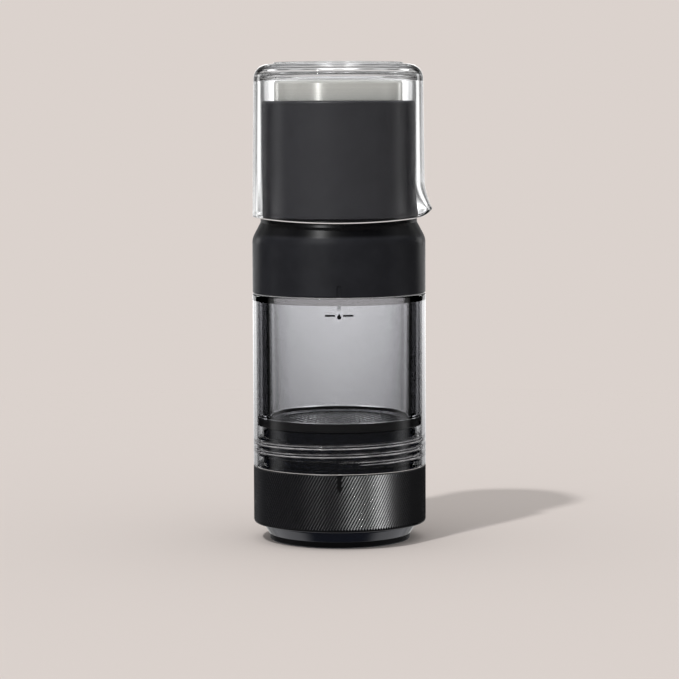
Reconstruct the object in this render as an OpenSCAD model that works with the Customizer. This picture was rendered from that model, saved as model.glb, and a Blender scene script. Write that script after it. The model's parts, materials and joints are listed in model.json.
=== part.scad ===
// Pump coffee brewer, stacked for storage: basket and grip ring at the bottom, clear water
// chamber above it, pump lid with its handle pressed down, and the carafe upside down on top.
// Millimetres, +Z up, origin at the middle of the foot, front (fill mark) towards -Y.

/* [Body] */
// Outer diameter of the grip ring, the chamber and the collar
body_d = 76.2; // [66:0.1:86]
// Radius on the outer edges of the mouldings
edge_r = 0.7; // [0.3:0.1:1.0]
// Gap between parts of one assembly that are pushed together
push_gap = 0.1; // [0.05:0.05:0.2]
// Gap between parts that slide or turn freely on each other
slide_gap = 0.3; // [0.2:0.05:0.4]
// Gap round a seal or a bush that runs in its bore
running_gap = 0.06; // [0.03:0.01:0.1]

/* [Foot and spigot] */
// Height of the non-slip foot ring
foot_h = 2.7; // [1.5:0.1:4]
// Radial width of the foot ring
foot_w = 3.5; // [2.5:0.1:4]
// Step from the lower edge of the spigot in to the foot ring
foot_inset = 0.35; // [0.2:0.05:1]
// Height of the rib that keys the foot ring into the basket
foot_rib_h = 1.2; // [0.8:0.1:1.6]
// Height of the spigot that centres the brewer in the carafe mouth
spigot_h = 5.1; // [4:0.1:8]
// Straight part at the top of the spigot
spigot_straight = 0.8; // [0.4:0.1:2]
// Step from the grip ring in to the spigot
spigot_inset = 4.1; // [3.9:0.1:5]
// Amount by which the spigot narrows to its lower edge, on the radius
spigot_taper = 2.6; // [1:0.1:3.2]

/* [Grip ring] */
// Height of the knurled grip ring
grip_h = 25.2; // [20:0.1:32]
// Wall of the grip ring
grip_wall = 3.6; // [3:0.1:3.8]
// Width of each key that stops the grip ring turning on the basket
grip_key_w = 4; // [3:0.5:6]
// Depth of each key
grip_key_depth = 1; // [0.6:0.1:1.4]
// Height of each key, down from the top of the ring
grip_key_h = 12.6; // [6:0.1:18]
// Angle of the first key, from the right-hand side
grip_key_at = 45; // [20:1:70]
// Number of keys
grip_key_count = 4; // [3:1:6]
// Width of the pointer notch in the grip ring
pointer_w = 2.1; // [1.5:0.1:3]
// Height of the pointer notch with its tip
pointer_h = 7.2; // [4:0.1:12]
// Height of the pointed tip of the notch
pointer_tip_h = 2; // [1:0.1:3]
// Depth of the pointer notch
pointer_depth = 0.5; // [0.3:0.1:1]

/* [Brew basket] */
// Height of the basket above the grip ring
basket_rise = 17.6; // [16:0.1:24]
// Wall of the basket under its thread
basket_wall = 5.2; // [4:0.1:6]
// Width of the ledge that carries the filter
ledge_w = 3; // [2:0.1:4]
// Thickness of the ledge
ledge_t = 2; // [1.5:0.1:3]
// Height of the outlet below the ledge, from the foot of the spigot
outlet_h = 8.3; // [5:0.1:10]
// Height of the flange that stops the grip ring
stop_flange_h = 1.4; // [1:0.1:2]

/* [Thread between basket and chamber] */
// Rise of the thread for one turn
thread_pitch = 3.55; // [3:0.05:4]
// Number of turns
thread_turns = 2.9; // [2:0.1:3]
// Radial depth of the basket's thread
thread_depth = 1.7; // [1.2:0.1:2]
// Width of the thread at its crest
thread_crest_w = 0.9; // [0.6:0.1:1.1]
// Width of the thread at its root
thread_root_w = 1.8; // [1.5:0.1:2]
// Width of the chamber's thread at its crest
inner_crest_w = 0.6; // [0.4:0.1:0.9]
// Turns by which the chamber's thread is shorter
inner_thread_short = 0.5; // [0.3:0.1:1]
// Gap between the basket's flange and the start of its thread
thread_start_gap = 0.3; // [0.2:0.1:0.6]
// Gap between the tip of one thread and the root of the other
thread_gap = 0.5; // [0.4:0.1:0.6]

/* [Filter] */
// Thickness of the perforated filter support
support_t = 2; // [1.5:0.1:3]
// Hole diameter in the filter support
support_hole_d = 3; // [2:0.1:3.4]
// Spacing of the holes in the filter support
support_pitch = 5.4; // [4.8:0.1:8]
// Thickness of the stainless filter disc
filter_t = 0.4; // [0.2:0.1:0.8]
// Thickness of the silicone filter gasket
filter_gasket_t = 1.2; // [0.8:0.1:2]
// Height of the snap ring that holds the filter down
filter_ring_h = 1.5; // [1:0.1:3]
// Radial width of the gasket and the snap ring
filter_ring_w = 2; // [1.5:0.1:3]

/* [Water chamber] */
// Height of the chamber from the grip ring to the collar
chamber_h = 76.2; // [66:0.1:90]
// Wall of the outer sleeve
sleeve_wall = 1.9; // [1.5:0.1:2.4]
// Wall of the inner vessel
vessel_wall = 4.5; // [3.5:0.1:5.5]
// Outer radius at the bottom of the vessel
vessel_corner_r = 1.8; // [1.5:0.1:3]
// Draft of the vessel bore over its height, on the radius
vessel_draft = 0.8; // [0.2:0.1:1.5]
// Thickness of the flange where the vessel is welded on the sleeve
vessel_flange_t = 3.2; // [2:0.1:5]
// Height of the vessel neck inside the collar
vessel_neck_h = 7.8; // [7:0.1:9]
// Width of the alignment grooves in the sleeve
groove_w = 1.75; // [1.2:0.05:2.5]
// Depth of the alignment grooves
groove_depth = 0.25; // [0.15:0.05:0.5]
// Length of the upper alignment groove
upper_groove_h = 5.9; // [4:0.1:8]
// Length of the lower alignment groove
lower_groove_h = 3.9; // [2:0.1:6]

/* [Fill mark] */
// Depth of the fill mark below the top of the chamber
mark_drop = 7.6; // [6.5:0.1:20]
// Thickness of the printed mark
mark_t = 0.1; // [0.05:0.05:0.2]
// Length of each dash
dash_l = 4.5; // [2:0.1:8]
// Height of each dash
dash_h = 0.8; // [0.4:0.05:1.5]
// Gap between a dash and the middle of the drop
dash_gap = 1.65; // [1.4:0.05:3]
// Diameter of the round foot of the drop
drop_d = 1.8; // [1:0.1:2.4]
// Height of the drop
drop_h = 2.5; // [2.3:0.1:5]
// Distance from the dashes down to the middle of the drop
drop_sink = 0.35; // [0:0.05:1]

/* [Shower plate and seals] */
// Thickness of the perforated shower plate
shower_t = 1.2; // [0.8:0.1:2]
// Hole diameter in the shower plate
shower_hole_d = 1.3; // [0.8:0.1:1.6]
// Spacing of the holes in the shower plate
shower_pitch = 3.9; // [3.2:0.1:6]
// Height of the black ring that holds the vessel and the shower plate
carrier_h = 3.7; // [3.3:0.1:5]
// Floor of that ring under the vessel
carrier_floor_t = 2.4; // [1.8:0.1:3]
// Width of the ledge inside that ring, which carries the shower plate
carrier_ledge_w = 2; // [1:0.1:3]
// Thickness of that ledge
carrier_ledge_t = 0.9; // [0.6:0.1:1.2]
// Gap between the basket rim and the ring above it
rim_gap = 0.6; // [0.4:0.1:1]
// Radial width of the basket seal
basket_seal_w = 2.8; // [2:0.1:3.2]
// Height of the basket seal
basket_seal_h = 1.3; // [1.1:0.1:1.7]

/* [Collar] */
// Height of the collar
collar_h = 32.8; // [30:0.1:40]
// Wall of the collar
collar_wall = 2; // [1.6:0.1:2.4]
// Height at which the shoulder begins
shoulder_at = 22; // [19:0.1:24]
// Radius of the bend from the side into the shoulder
shoulder_bend_r = 8; // [3:0.1:10]
// Lean of the shoulder from upright, in degrees
shoulder_lean = 27; // [20:1:32]
// Step from the body in to the neck of the collar
shoulder_inset = 3.7; // [3:0.1:4.5]
// Height of the straight neck at the top of the collar
collar_neck_h = 1.8; // [1.5:0.1:3]
// Width of the front notch in the lower edge
notch_w = 2.1; // [1.5:0.1:3]
// Height of the front notch
notch_h = 5.2; // [3:0.1:7]
// Depth of the front notch
notch_depth = 0.5; // [0.3:0.1:0.9]
// Thickness of the ledge that the pump cylinder is screwed to
collar_ledge_t = 3; // [2:0.1:4]

/* [Twist lock] */
// Number of lugs on the vessel and on the collar
lug_count = 4; // [3:1:5]
// Angle that each lug covers
lug_angle = 28; // [16:1:30]
// Radial depth of the lugs
lug_depth = 1.7; // [1:0.1:2]
// Height of the lugs on the vessel
vessel_lug_h = 2.4; // [1.5:0.1:2.8]
// Height of the lugs in the collar
collar_lug_h = 3; // [2:0.1:3.2]
// Gap under and over the lugs
lug_gap = 0.4; // [0.3:0.1:0.5]

/* [Pump cylinder] */
// Wall of the pump cylinder
cylinder_wall = 2; // [1.5:0.1:3]
// Height of the plug that fits the vessel neck
plug_h = 8; // [7.5:0.1:9]
// Radial width of the plug
plug_w = 5.2; // [4:0.1:6]
// Thickness of the cylinder floor
cylinder_floor_t = 2.5; // [2:0.1:3]
// Thickness of the flange that is screwed to the collar
flange_t = 3.5; // [3:0.1:4.5]
// Gap between the vessel and the plug, upwards
plug_lift = 0.8; // [0.5:0.1:1]
// Radial width of the lid seal
lid_seal_w = 1.5; // [1:0.1:2.4]
// Height of the lid seal
lid_seal_h = 2.8; // [1.5:0.1:3]
// Height of the lid seal above the foot of the plug
lid_seal_at = 1.8; // [1:0.1:2.4]
// Air hole diameter in the cylinder floor
air_hole_d = 2; // [1:0.1:2.6]
// Distance of the air holes from the axis
air_hole_at = 4.5; // [4:0.1:5]
// Number of air holes
air_hole_count = 6; // [4:1:8]
// Diameter of the flap of the outlet valve
valve_d = 15; // [13.5:0.5:20]
// Thickness of the flap of the outlet valve
valve_t = 0.8; // [0.5:0.1:1.2]
// Stem diameter of the outlet valve
valve_stem_d = 3; // [2:0.1:3.6]
// Step of the bead that holds the stem in the cylinder floor
valve_bead = 0.6; // [0.3:0.1:1]

/* [Cylinder head] */
// Thickness of the cylinder head
head_t = 4; // [3:0.1:6]
// Thickness of the lip of the head on the cylinder
head_lip_t = 0.5; // [0.4:0.1:1]
// Diameter of the hole for the rod bush
bush_d = 16; // [14:0.5:20]
// Vent hole diameter in the head
vent_d = 3; // [2:0.1:4]
// Distance of the vent holes from the axis
vent_at = 18; // [15:0.5:20]
// Number of vent holes
vent_count = 6; // [3:1:8]

/* [Piston and rod] */
// Travel of the pump handle
stroke = 45; // [35:0.5:55]
// Height left above the piston at the end of its travel
stroke_spare = 7.5; // [4:0.1:10]
// Height of the piston
piston_h = 12; // [11:0.1:14]
// Gap between the piston and the cylinder, on the radius
piston_gap = 0.4; // [0.3:0.05:0.6]
// Gap under the piston at rest
piston_foot_gap = 1.5; // [0.8:0.1:3]
// Depth of the seal groove in the piston
piston_seal_w = 2.6; // [1.5:0.1:4]
// Height of the piston seal
piston_seal_h = 4; // [2.5:0.1:5]
// Diameter of the piston rod
rod_d = 10; // [8:0.1:12]
// Depth of the sockets that take the ends of the rod
rod_socket = 4; // [3:0.1:5]
// Diameter of the screws that hold the rod
rod_screw_d = 4; // [3:0.1:4.6]
// Head diameter of the screws that hold the rod
rod_screw_head_d = 8; // [7:0.1:9]
// Head height of the screws that hold the rod
rod_screw_head_h = 2.4; // [1.5:0.1:2.6]
// Length of the screws that hold the rod, without the head
rod_screw_l = 14; // [10:0.5:20]

/* [Flange screws] */
// Number of screws between the cylinder flange and the collar
flange_screw_count = 4; // [3:1:6]
// Angle of the first of these screws, from the right-hand side
flange_screw_turn = 45; // [20:1:70]
// Diameter of these screws
flange_screw_d = 2.2; // [1.8:0.1:2.4]
// Head diameter of these screws
flange_screw_head_d = 3.8; // [3.2:0.1:4]
// Head height of these screws
flange_screw_head_h = 1.6; // [1:0.1:2]
// Length of these screws, without the head
flange_screw_l = 6; // [5:0.1:7]

/* [Handle] */
// Wall of the handle sleeve
handle_wall = 2; // [1.5:0.1:2.4]
// Step from the collar neck in to the handle sleeve
handle_inset = 0.8; // [0.4:0.1:1.5]
// Thickness of the lip at the top of the sleeve
handle_lip_t = 1.6; // [1.2:0.1:2.5]
// Radius on the top edge of the handle sleeve
handle_edge_r = 1.2; // [0.6:0.1:1.4]
// Thickness of the plate of the handle core
core_plate_t = 2.4; // [1.5:0.1:4]
// Gap between the cylinder head and the handle core at rest
core_gap = 0.5; // [0.3:0.1:1]
// Step from the handle sleeve in to the metal cap
cap_inset = 5.4; // [4:0.1:7]
// Height of the metal cap
cap_h = 9; // [8.5:0.1:12]
// Wall of the metal cap
cap_wall = 1.2; // [0.8:0.1:1.6]
// Radius on the top edge of the metal cap
cap_edge_r = 1.6; // [0.8:0.1:2.5]

/* [Carafe] */
// Wall of the carafe
carafe_wall = 2.1; // [1.8:0.1:2.8]
// Thickness of the carafe base
carafe_base_t = 5.9; // [4:0.1:8]
// Height of the ring that the carafe stands on when it is upright
carafe_ring_h = 0.8; // [0.4:0.1:1.2]
// Step from the rounded edge of the base in to that ring
carafe_ring_inset = 2.6; // [0.2:0.1:5]
// Radial width of that ring
carafe_ring_w = 2.4; // [1.5:0.1:4]
// Radius on the outer edge of the base
carafe_corner_r = 6.3; // [4:0.1:9]
// Radius on the inner edge of the base
carafe_inner_r = 1.6; // [1:0.1:5]
// Length by which the carafe mouth laps the collar neck
carafe_lap = 1.2; // [0.8:0.1:1.5]
// Gap between the carafe base and the metal cap
carafe_over_cap = 1.3; // [0.5:0.1:3]
// Gap between the carafe mouth and the collar neck
carafe_seat_gap = 0.8; // [0.3:0.05:0.9]
// Amount by which the carafe rim bows away from the collar at the sides
rim_bow = 1.7; // [0.5:0.1:3]
// Amount by which the rim flares outwards
rim_flare = 0.7; // [0.3:0.1:1]
// Height of the flared part of the rim
rim_flare_h = 5; // [3:0.1:8]
// Reach of the spout past the carafe wall
spout_reach = 4; // [2:0.1:5]
// Height of the spout along the wall
spout_h = 16; // [12:0.1:20]
// Radius of the channel of the spout
spout_channel_r = 8; // [5:0.1:10]
// Height of the spout tip above the lowest point of the rim
spout_tip_lift = 5; // [3:0.1:6]

/* [Hidden] */
$fn = 96;
// Sides of a small hole, of the drop and of the large drum that bows the carafe rim
hole_sides = 24;
drop_sides = 32;
drum_sides = 720;
// Overlap that makes a cut pass fully through a face
cut = 1;
// Straight sides in a quarter of a rounded edge
arc_steps = 5;
// Sections in one turn of the thread
thread_steps = 40;
// Part of a turn over which each end of the thread fades out, and the share of its depth left there
thread_fade = 0.12;
thread_end = 0.08;

// Radii, from the outside in
body_r = body_d / 2;
sleeve_bore_r = body_r - sleeve_wall;
thread_crest_r = sleeve_bore_r - slide_gap;
thread_root_r = thread_crest_r - thread_depth;
basket_bore_r = thread_root_r - basket_wall;
outlet_r = basket_bore_r - ledge_w;
spigot_r = body_r - spigot_inset;
spigot_tip_r = spigot_r - spigot_taper;
foot_r = spigot_tip_r - foot_inset;
grip_bore_r = body_r - grip_wall;
basket_body_r = grip_bore_r - push_gap;
vessel_r = sleeve_bore_r - slide_gap;
vessel_bore_r = vessel_r - vessel_wall;
vessel_foot_bore_r = vessel_bore_r - vessel_draft;
collar_bore_r = body_r - collar_wall;
collar_neck_r = body_r - shoulder_inset;
vessel_lug_r = collar_bore_r - lug_gap;
vessel_neck_r = vessel_lug_r - lug_depth;
collar_lug_r = vessel_neck_r + lug_gap;
handle_r = collar_neck_r - handle_inset;
handle_bore_r = handle_r - handle_wall;
cylinder_r = handle_bore_r - slide_gap;
cylinder_bore_r = cylinder_r - cylinder_wall;
flange_r = collar_bore_r - push_gap;
plug_r = vessel_bore_r - 2 * push_gap;
plug_bore_r = plug_r - plug_w;
lid_seal_r = vessel_bore_r - running_gap;
piston_r = cylinder_bore_r - piston_gap;
piston_seal_r = cylinder_bore_r - running_gap;
rod_r = rod_d / 2;
cap_r = handle_r - cap_inset;
cap_bore_r = cap_r - cap_wall;
core_boss_r = cap_bore_r - push_gap;
carafe_bore_r = collar_neck_r + carafe_seat_gap;
carafe_r = carafe_bore_r + carafe_wall;
carafe_ring_r = carafe_r - carafe_corner_r - carafe_ring_inset;
// Middle of the ring of screws between the pump cylinder and the collar
flange_screw_at = (cylinder_r + flange_r) / 2;

// Levels, from the foot up
spigot_z = foot_h;
grip_z = foot_h + spigot_h;
chamber_z = grip_z + grip_h;
rim_z = chamber_z + basket_rise;
ledge_z = spigot_z + outlet_h;
support_z = ledge_z + ledge_t;
filter_z = support_z + support_t;
filter_gasket_z = filter_z + filter_t;
filter_ring_z = filter_gasket_z + filter_gasket_t;
thread_z = chamber_z + stop_flange_h + thread_root_w / 2 + thread_start_gap;
carrier_z = rim_z + rim_gap;
vessel_z = carrier_z + carrier_floor_t;
shower_z = carrier_z + carrier_ledge_t;
collar_z = chamber_z + chamber_h;
vessel_flange_z = collar_z - vessel_flange_t;
vessel_neck_z = collar_z + vessel_neck_h;
collar_lug_z = collar_z + lug_gap;
vessel_lug_z = collar_lug_z + collar_lug_h + lug_gap;
plug_z = collar_z + plug_lift;
flange_z = plug_z + plug_h;
collar_ledge_z = flange_z + flange_t;
collar_top_z = collar_z + collar_h;
cylinder_floor_z = flange_z - cylinder_floor_t;
piston_z = flange_z + piston_foot_gap;
piston_top_z = piston_z + piston_h;
head_z = piston_top_z + stroke + stroke_spare;
cylinder_top_z = head_z + head_t;
core_z = cylinder_top_z + head_lip_t + core_gap;
handle_lip_z = core_z + core_plate_t;
handle_z = collar_top_z + slide_gap;
handle_top_z = handle_lip_z + handle_lip_t;
rod_top_z = core_z + rod_socket;
cap_top_z = handle_top_z + cap_h;
carafe_z = collar_top_z - carafe_lap;
carafe_floor_z = cap_top_z + carafe_over_cap;
carafe_shoulder_z = carafe_floor_z + carafe_base_t;
carafe_top_z = carafe_shoulder_z + carafe_ring_h;
mark_z = collar_z - mark_drop;
seal_groove_z = plug_z + lid_seal_at;
piston_groove_z = piston_z + (piston_h - piston_seal_h) / 2;

// Points of an arc about (x, y) from one angle to another
function arc(x, y, r, from, to, steps = arc_steps) =
    [for (i = [0 : steps]) let (a = from + (to - from) * i / steps) [x + r * cos(a), y + r * sin(a)]];

// Turned ring with a rectangular section
module ring(r_in, r_out, z, h) {
    translate([0, 0, z]) rotate_extrude() translate([r_in, 0]) square([r_out - r_in, h]);
}

// Turned disc
module disc(r, z, h) {
    translate([0, 0, z]) cylinder(r = r, h = h);
}

// Turned tube whose outer edges are rounded: low at the foot, high at the top
module rounded_tube(r_in, r_out, z, h, low, high) {
    low_arc = low > 0 ? arc(r_out - low, z + low, low, -90, 0) : [[r_out, z]];
    high_arc = high > 0 ? arc(r_out - high, z + h - high, high, 0, 90) : [[r_out, z + h]];
    rotate_extrude() polygon(concat([[r_in, z]], low_arc, high_arc, [[r_in, z + h]]));
}

// Copies of the child at equal angles round the axis
module around(count, first = 0) {
    for (i = [0 : count - 1]) rotate([0, 0, first + 360 * i / count]) children();
}

// Part of a ring that covers an angle centred on +X
module ring_sector(r_in, r_out, z, h, angle) {
    translate([0, 0, z])
        rotate([0, 0, -angle / 2])
            rotate_extrude(angle = angle)
                translate([r_in, 0]) square([r_out - r_in, h]);
}

// One helical ridge, right-handed, from r_base out to r_tip, which passes the front at front_z
module thread_ridge(r_base, r_tip, base_w, tip_w, front_z, turns) {
    count = ceil(turns * thread_steps);
    fade_steps = max(2, thread_fade * thread_steps);
    function fade(i) = min(1, min(i, count - i) / fade_steps);
    function section(i) =
        let (a = -90 + 360 * i / thread_steps)
        let (z = front_z + thread_pitch * i / thread_steps)
        let (f = max(thread_end, fade(i)))
        let (r = r_base + (r_tip - r_base) * f)
        [for (p = [[r_base, -base_w / 2], [r, -tip_w / 2], [r, tip_w / 2], [r_base, base_w / 2]])
            [p[0] * cos(a), p[0] * sin(a), z + p[1]]];
    points = [for (i = [0 : count]) each section(i)];
    outward = r_tip > r_base;
    sides = [for (i = [0 : count - 1]) for (k = [0 : 3])
        let (n = (k + 1) % 4)
        each [[4 * i + k, 4 * i + n, 4 * i + 4 + k], [4 * i + n, 4 * i + 4 + n, 4 * i + 4 + k]]];
    last = 4 * count;
    ends = [[0, 2, 1], [0, 3, 2], [last, last + 1, last + 2], [last, last + 2, last + 3]];
    faces = concat(sides, ends);
    polyhedron(points, outward ? faces : [for (f = faces) [f[2], f[1], f[0]]]);
}

// Round holes in rings about the axis, none further out than reach
module hole_rings(hole_d, pitch, reach, z, h) {
    translate([0, 0, z]) cylinder(d = hole_d, h = h, $fn = hole_sides);
    for (k = [1 : floor(reach / pitch)])
        around(6 * k) translate([k * pitch, 0, z]) cylinder(d = hole_d, h = h, $fn = hole_sides);
}

// Slot cut into the front of the body, depth deep, from z up to z + h
module front_slot(width, depth, z, h) {
    translate([-width / 2, -body_r - cut, z]) cube([width, depth + cut, h]);
}

// Screw that points up, with the foot of its head at z
module screw_up(d, head_d, head_h, length, z) {
    translate([0, 0, z]) cylinder(d = head_d, h = head_h);
    translate([0, 0, z + head_h / 2]) cylinder(d = d, h = length + head_h / 2);
}

module foot_ring() {
    color("#1b1b1d") {
        rotate_extrude() polygon(concat(
            [[foot_r - foot_w, 0]],
            arc(foot_r - edge_r, edge_r, edge_r, -90, 0),
            [[foot_r, foot_h], [foot_r - foot_w / 3, foot_h],
             [foot_r - foot_w / 3, foot_h + foot_rib_h],
             [foot_r - foot_w * 2 / 3, foot_h + foot_rib_h],
             [foot_r - foot_w * 2 / 3, foot_h], [foot_r - foot_w, foot_h]]));
    }
}

module brew_basket() {
    color("#17181b") {
        difference() {
            union() {
                rotate_extrude() polygon([
                    [outlet_r, spigot_z], [spigot_tip_r, spigot_z],
                    [spigot_r, grip_z - spigot_straight], [spigot_r, grip_z],
                    [basket_body_r, grip_z], [basket_body_r, chamber_z],
                    [thread_crest_r, chamber_z],
                    [thread_crest_r, chamber_z + stop_flange_h],
                    [thread_root_r, chamber_z + stop_flange_h],
                    [thread_root_r, rim_z], [basket_bore_r, rim_z],
                    [basket_bore_r, support_z], [outlet_r, support_z]]);
                around(grip_key_count, grip_key_at)
                    translate([basket_body_r - cut, -grip_key_w / 2, chamber_z - grip_key_h])
                        cube([grip_key_depth + cut, grip_key_w, grip_key_h]);
                thread_ridge(thread_root_r - thread_gap, thread_crest_r,
                    thread_root_w, thread_crest_w, thread_z, thread_turns);
            }
            ring(foot_r - foot_w * 2 / 3 - push_gap, foot_r - foot_w / 3 + push_gap,
                spigot_z - cut, foot_rib_h + push_gap + cut);
        }
    }
}

module grip_ring() {
    color("#141416") {
        difference() {
            rounded_tube(grip_bore_r, body_r, grip_z, grip_h, edge_r, edge_r / 2);
            around(grip_key_count, grip_key_at)
                translate([basket_body_r - cut, -grip_key_w / 2 - push_gap,
                        chamber_z - grip_key_h - push_gap])
                    cube([grip_key_depth + push_gap + cut, grip_key_w + 2 * push_gap,
                        grip_key_h + push_gap + cut]);
            front_slot(pointer_w, pointer_depth, chamber_z - pointer_h + pointer_tip_h, pointer_h);
            translate([0, -body_r + pointer_depth, chamber_z - pointer_h + pointer_tip_h])
                rotate([90, 0, 0])
                    linear_extrude(height = pointer_depth + cut)
                        polygon([[-pointer_w / 2, 0], [0, -pointer_tip_h], [pointer_w / 2, 0]]);
        }
    }
}

module filter_support() {
    color("#17181b") {
        difference() {
            disc(basket_bore_r - push_gap, support_z, support_t);
            hole_rings(support_hole_d, support_pitch, outlet_r - support_hole_d,
                support_z - cut, support_t + 2 * cut);
        }
    }
}

module filter_disc() {
    color("#a9acb0") disc(basket_bore_r - push_gap, filter_z, filter_t);
}

module filter_gasket() {
    r = basket_bore_r - push_gap;
    color("#3a3b3f") ring(r - filter_ring_w, r, filter_gasket_z, filter_gasket_t);
}

module filter_snap_ring() {
    r = basket_bore_r - push_gap;
    color("#b4b6b8") ring(r - filter_ring_w, r, filter_ring_z, filter_ring_h);
}

module basket_seal() {
    middle_r = (basket_bore_r + thread_root_r) / 2;
    color("#2a2b2e") ring(middle_r - basket_seal_w / 2, middle_r + basket_seal_w / 2, rim_z, basket_seal_h);
}

module chamber_sleeve() {
    ridge_z = thread_z + thread_pitch / 2;
    color("#cfd3d8", 0.35) {
        difference() {
            union() {
                ring(sleeve_bore_r, body_r, chamber_z, vessel_flange_z - chamber_z);
                thread_ridge(sleeve_bore_r + thread_gap, thread_root_r + thread_gap,
                    thread_root_w, inner_crest_w, ridge_z, thread_turns - inner_thread_short);
            }
            front_slot(groove_w, groove_depth, chamber_z - cut, lower_groove_h + cut);
            front_slot(groove_w, groove_depth, collar_z - upper_groove_h, upper_groove_h);
            mark_shape(body_r - mark_t, cut);
        }
    }
}

module water_vessel() {
    foot_r_in = vessel_foot_bore_r;
    color("#cfd3d8", 0.35) {
        difference() {
            union() {
                rotate_extrude() polygon(concat(
                    [[foot_r_in, vessel_z]],
                    arc(vessel_r - vessel_corner_r, vessel_z + vessel_corner_r, vessel_corner_r, -90, 0),
                    [[vessel_r, vessel_flange_z], [body_r, vessel_flange_z], [body_r, collar_z],
                     [vessel_neck_r, collar_z], [vessel_neck_r, vessel_neck_z],
                     [vessel_bore_r, vessel_neck_z], [vessel_bore_r, vessel_flange_z]]));
                around(lug_count, 180 / lug_count)
                    ring_sector(vessel_neck_r - cut, vessel_lug_r, vessel_lug_z, vessel_lug_h, lug_angle);
            }
            front_slot(groove_w, groove_depth, vessel_flange_z - cut, vessel_flange_t + 2 * cut);
        }
    }
}

// Drop whose straight sides touch its round foot
module drop_outline() {
    drop_r = drop_d / 2;
    tip_l = drop_h - drop_r;
    side = acos(drop_r / tip_l);
    touch = drop_r * [sin(side), cos(side)];
    translate([0, drop_r - drop_h / 2 - drop_sink]) {
        circle(r = drop_r, $fn = drop_sides);
        polygon([[0, tip_l], [-touch[0], touch[1]], touch]);
    }
}

// The drop between its two dashes, in the outermost layer of the sleeve
module mark_shape(r_in, past) {
    intersection() {
        ring(r_in, body_r + past, mark_z - drop_h, 2 * drop_h);
        translate([0, 0, mark_z])
            rotate([90, 0, 0])
                linear_extrude(height = body_r + cut + past) {
                    for (x = [-dash_gap - dash_l, dash_gap])
                        translate([x, -dash_h / 2]) square([dash_l, dash_h]);
                    drop_outline();
                }
    }
}

module fill_mark() {
    color("#0b0b0c") mark_shape(body_r - mark_t, 0);
}

module vessel_carrier_ring() {
    r_out = sleeve_bore_r - push_gap;
    middle_r = (basket_bore_r + thread_root_r) / 2;
    bore = vessel_foot_bore_r;
    corner = vessel_corner_r + push_gap;
    cove_r = vessel_r - vessel_corner_r;
    lip_z = carrier_z + carrier_h;
    cove_top = acos(max(0, (vessel_z + vessel_corner_r - lip_z) / corner));
    color("#141416") {
        difference() {
            rotate_extrude() polygon(concat(
                [[bore - carrier_ledge_w, carrier_z], [r_out, carrier_z], [r_out, lip_z]],
                arc(cove_r, vessel_z + vessel_corner_r, corner, -90 + cove_top, -90),
                [[bore, vessel_z - push_gap], [bore, shower_z], [bore - carrier_ledge_w, shower_z]]));
            ring(middle_r - basket_seal_w / 2 - push_gap, middle_r + basket_seal_w / 2 + push_gap,
                carrier_z - cut, basket_seal_h - rim_gap + cut);
        }
    }
}

module shower_plate() {
    r = vessel_foot_bore_r - push_gap;
    color("#1d1e21") {
        difference() {
            disc(r, shower_z, shower_t);
            hole_rings(shower_hole_d, shower_pitch, r - carrier_ledge_w - shower_hole_d,
                shower_z - cut, shower_t + 2 * cut);
        }
    }
}

module lid_seal() {
    color("#3a3b3f") ring(lid_seal_r - lid_seal_w, lid_seal_r, seal_groove_z, lid_seal_h);
}

module collar() {
    shoulder_z = collar_z + shoulder_at;
    neck_z = collar_top_z - collar_neck_h;
    ledge_top_z = collar_ledge_z + collar_ledge_t;
    bore = cylinder_r + push_gap;
    roof_z = neck_z - edge_r;
    inside_neck_r = collar_neck_r - collar_wall;
    shoulder = concat(
        arc(body_r - shoulder_bend_r, shoulder_z, shoulder_bend_r, 0, shoulder_lean),
        [[collar_neck_r, neck_z]]);
    color("#1c1d20") {
        difference() {
            rotate_extrude() polygon(concat(
                [[collar_bore_r, collar_z]],
                arc(body_r - edge_r, collar_z + edge_r, edge_r, -90, 0),
                shoulder,
                arc(collar_neck_r - edge_r, collar_top_z - edge_r, edge_r, 0, 90),
                [[bore, collar_top_z], [bore, roof_z], [inside_neck_r, roof_z],
                 [collar_bore_r, shoulder_z], [collar_bore_r, ledge_top_z], [bore, ledge_top_z],
                 [bore, collar_ledge_z], [collar_bore_r, collar_ledge_z]]));
            around(flange_screw_count, flange_screw_turn)
                translate([flange_screw_at, 0, collar_ledge_z - cut])
                    cylinder(d = flange_screw_d + push_gap, h = collar_ledge_t + 2 * cut);
            front_slot(notch_w, notch_depth, collar_z - cut, notch_h + cut);
        }
        around(lug_count)
            ring_sector(collar_lug_r, collar_bore_r + collar_wall / 2, collar_lug_z, collar_lug_h, lug_angle);
    }
}

module pump_cylinder() {
    groove_r = lid_seal_r - lid_seal_w - push_gap;
    color("#26272b") {
        difference() {
            rotate_extrude() polygon([
                [0, cylinder_floor_z], [plug_bore_r, cylinder_floor_z], [plug_bore_r, plug_z],
                [plug_r, plug_z], [plug_r, flange_z], [flange_r, flange_z],
                [flange_r, collar_ledge_z], [cylinder_r, collar_ledge_z],
                [cylinder_r, cylinder_top_z], [cylinder_bore_r, cylinder_top_z],
                [cylinder_bore_r, flange_z], [0, flange_z]]);
            ring(groove_r, plug_r + cut, seal_groove_z - push_gap, lid_seal_h + 2 * push_gap);
            translate([0, 0, cylinder_floor_z - cut])
                cylinder(d = valve_stem_d + push_gap, h = cylinder_floor_t + 2 * cut);
            around(air_hole_count)
                translate([air_hole_at, 0, cylinder_floor_z - cut])
                    cylinder(d = air_hole_d, h = cylinder_floor_t + 2 * cut);
            around(flange_screw_count, flange_screw_turn)
                translate([flange_screw_at, 0, flange_z - cut]) {
                    cylinder(d = flange_screw_d + 2 * push_gap, h = flange_t + 2 * cut);
                    cylinder(d = flange_screw_head_d + 2 * push_gap,
                        h = flange_screw_head_h + push_gap + cut);
                }
        }
    }
}

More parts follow.
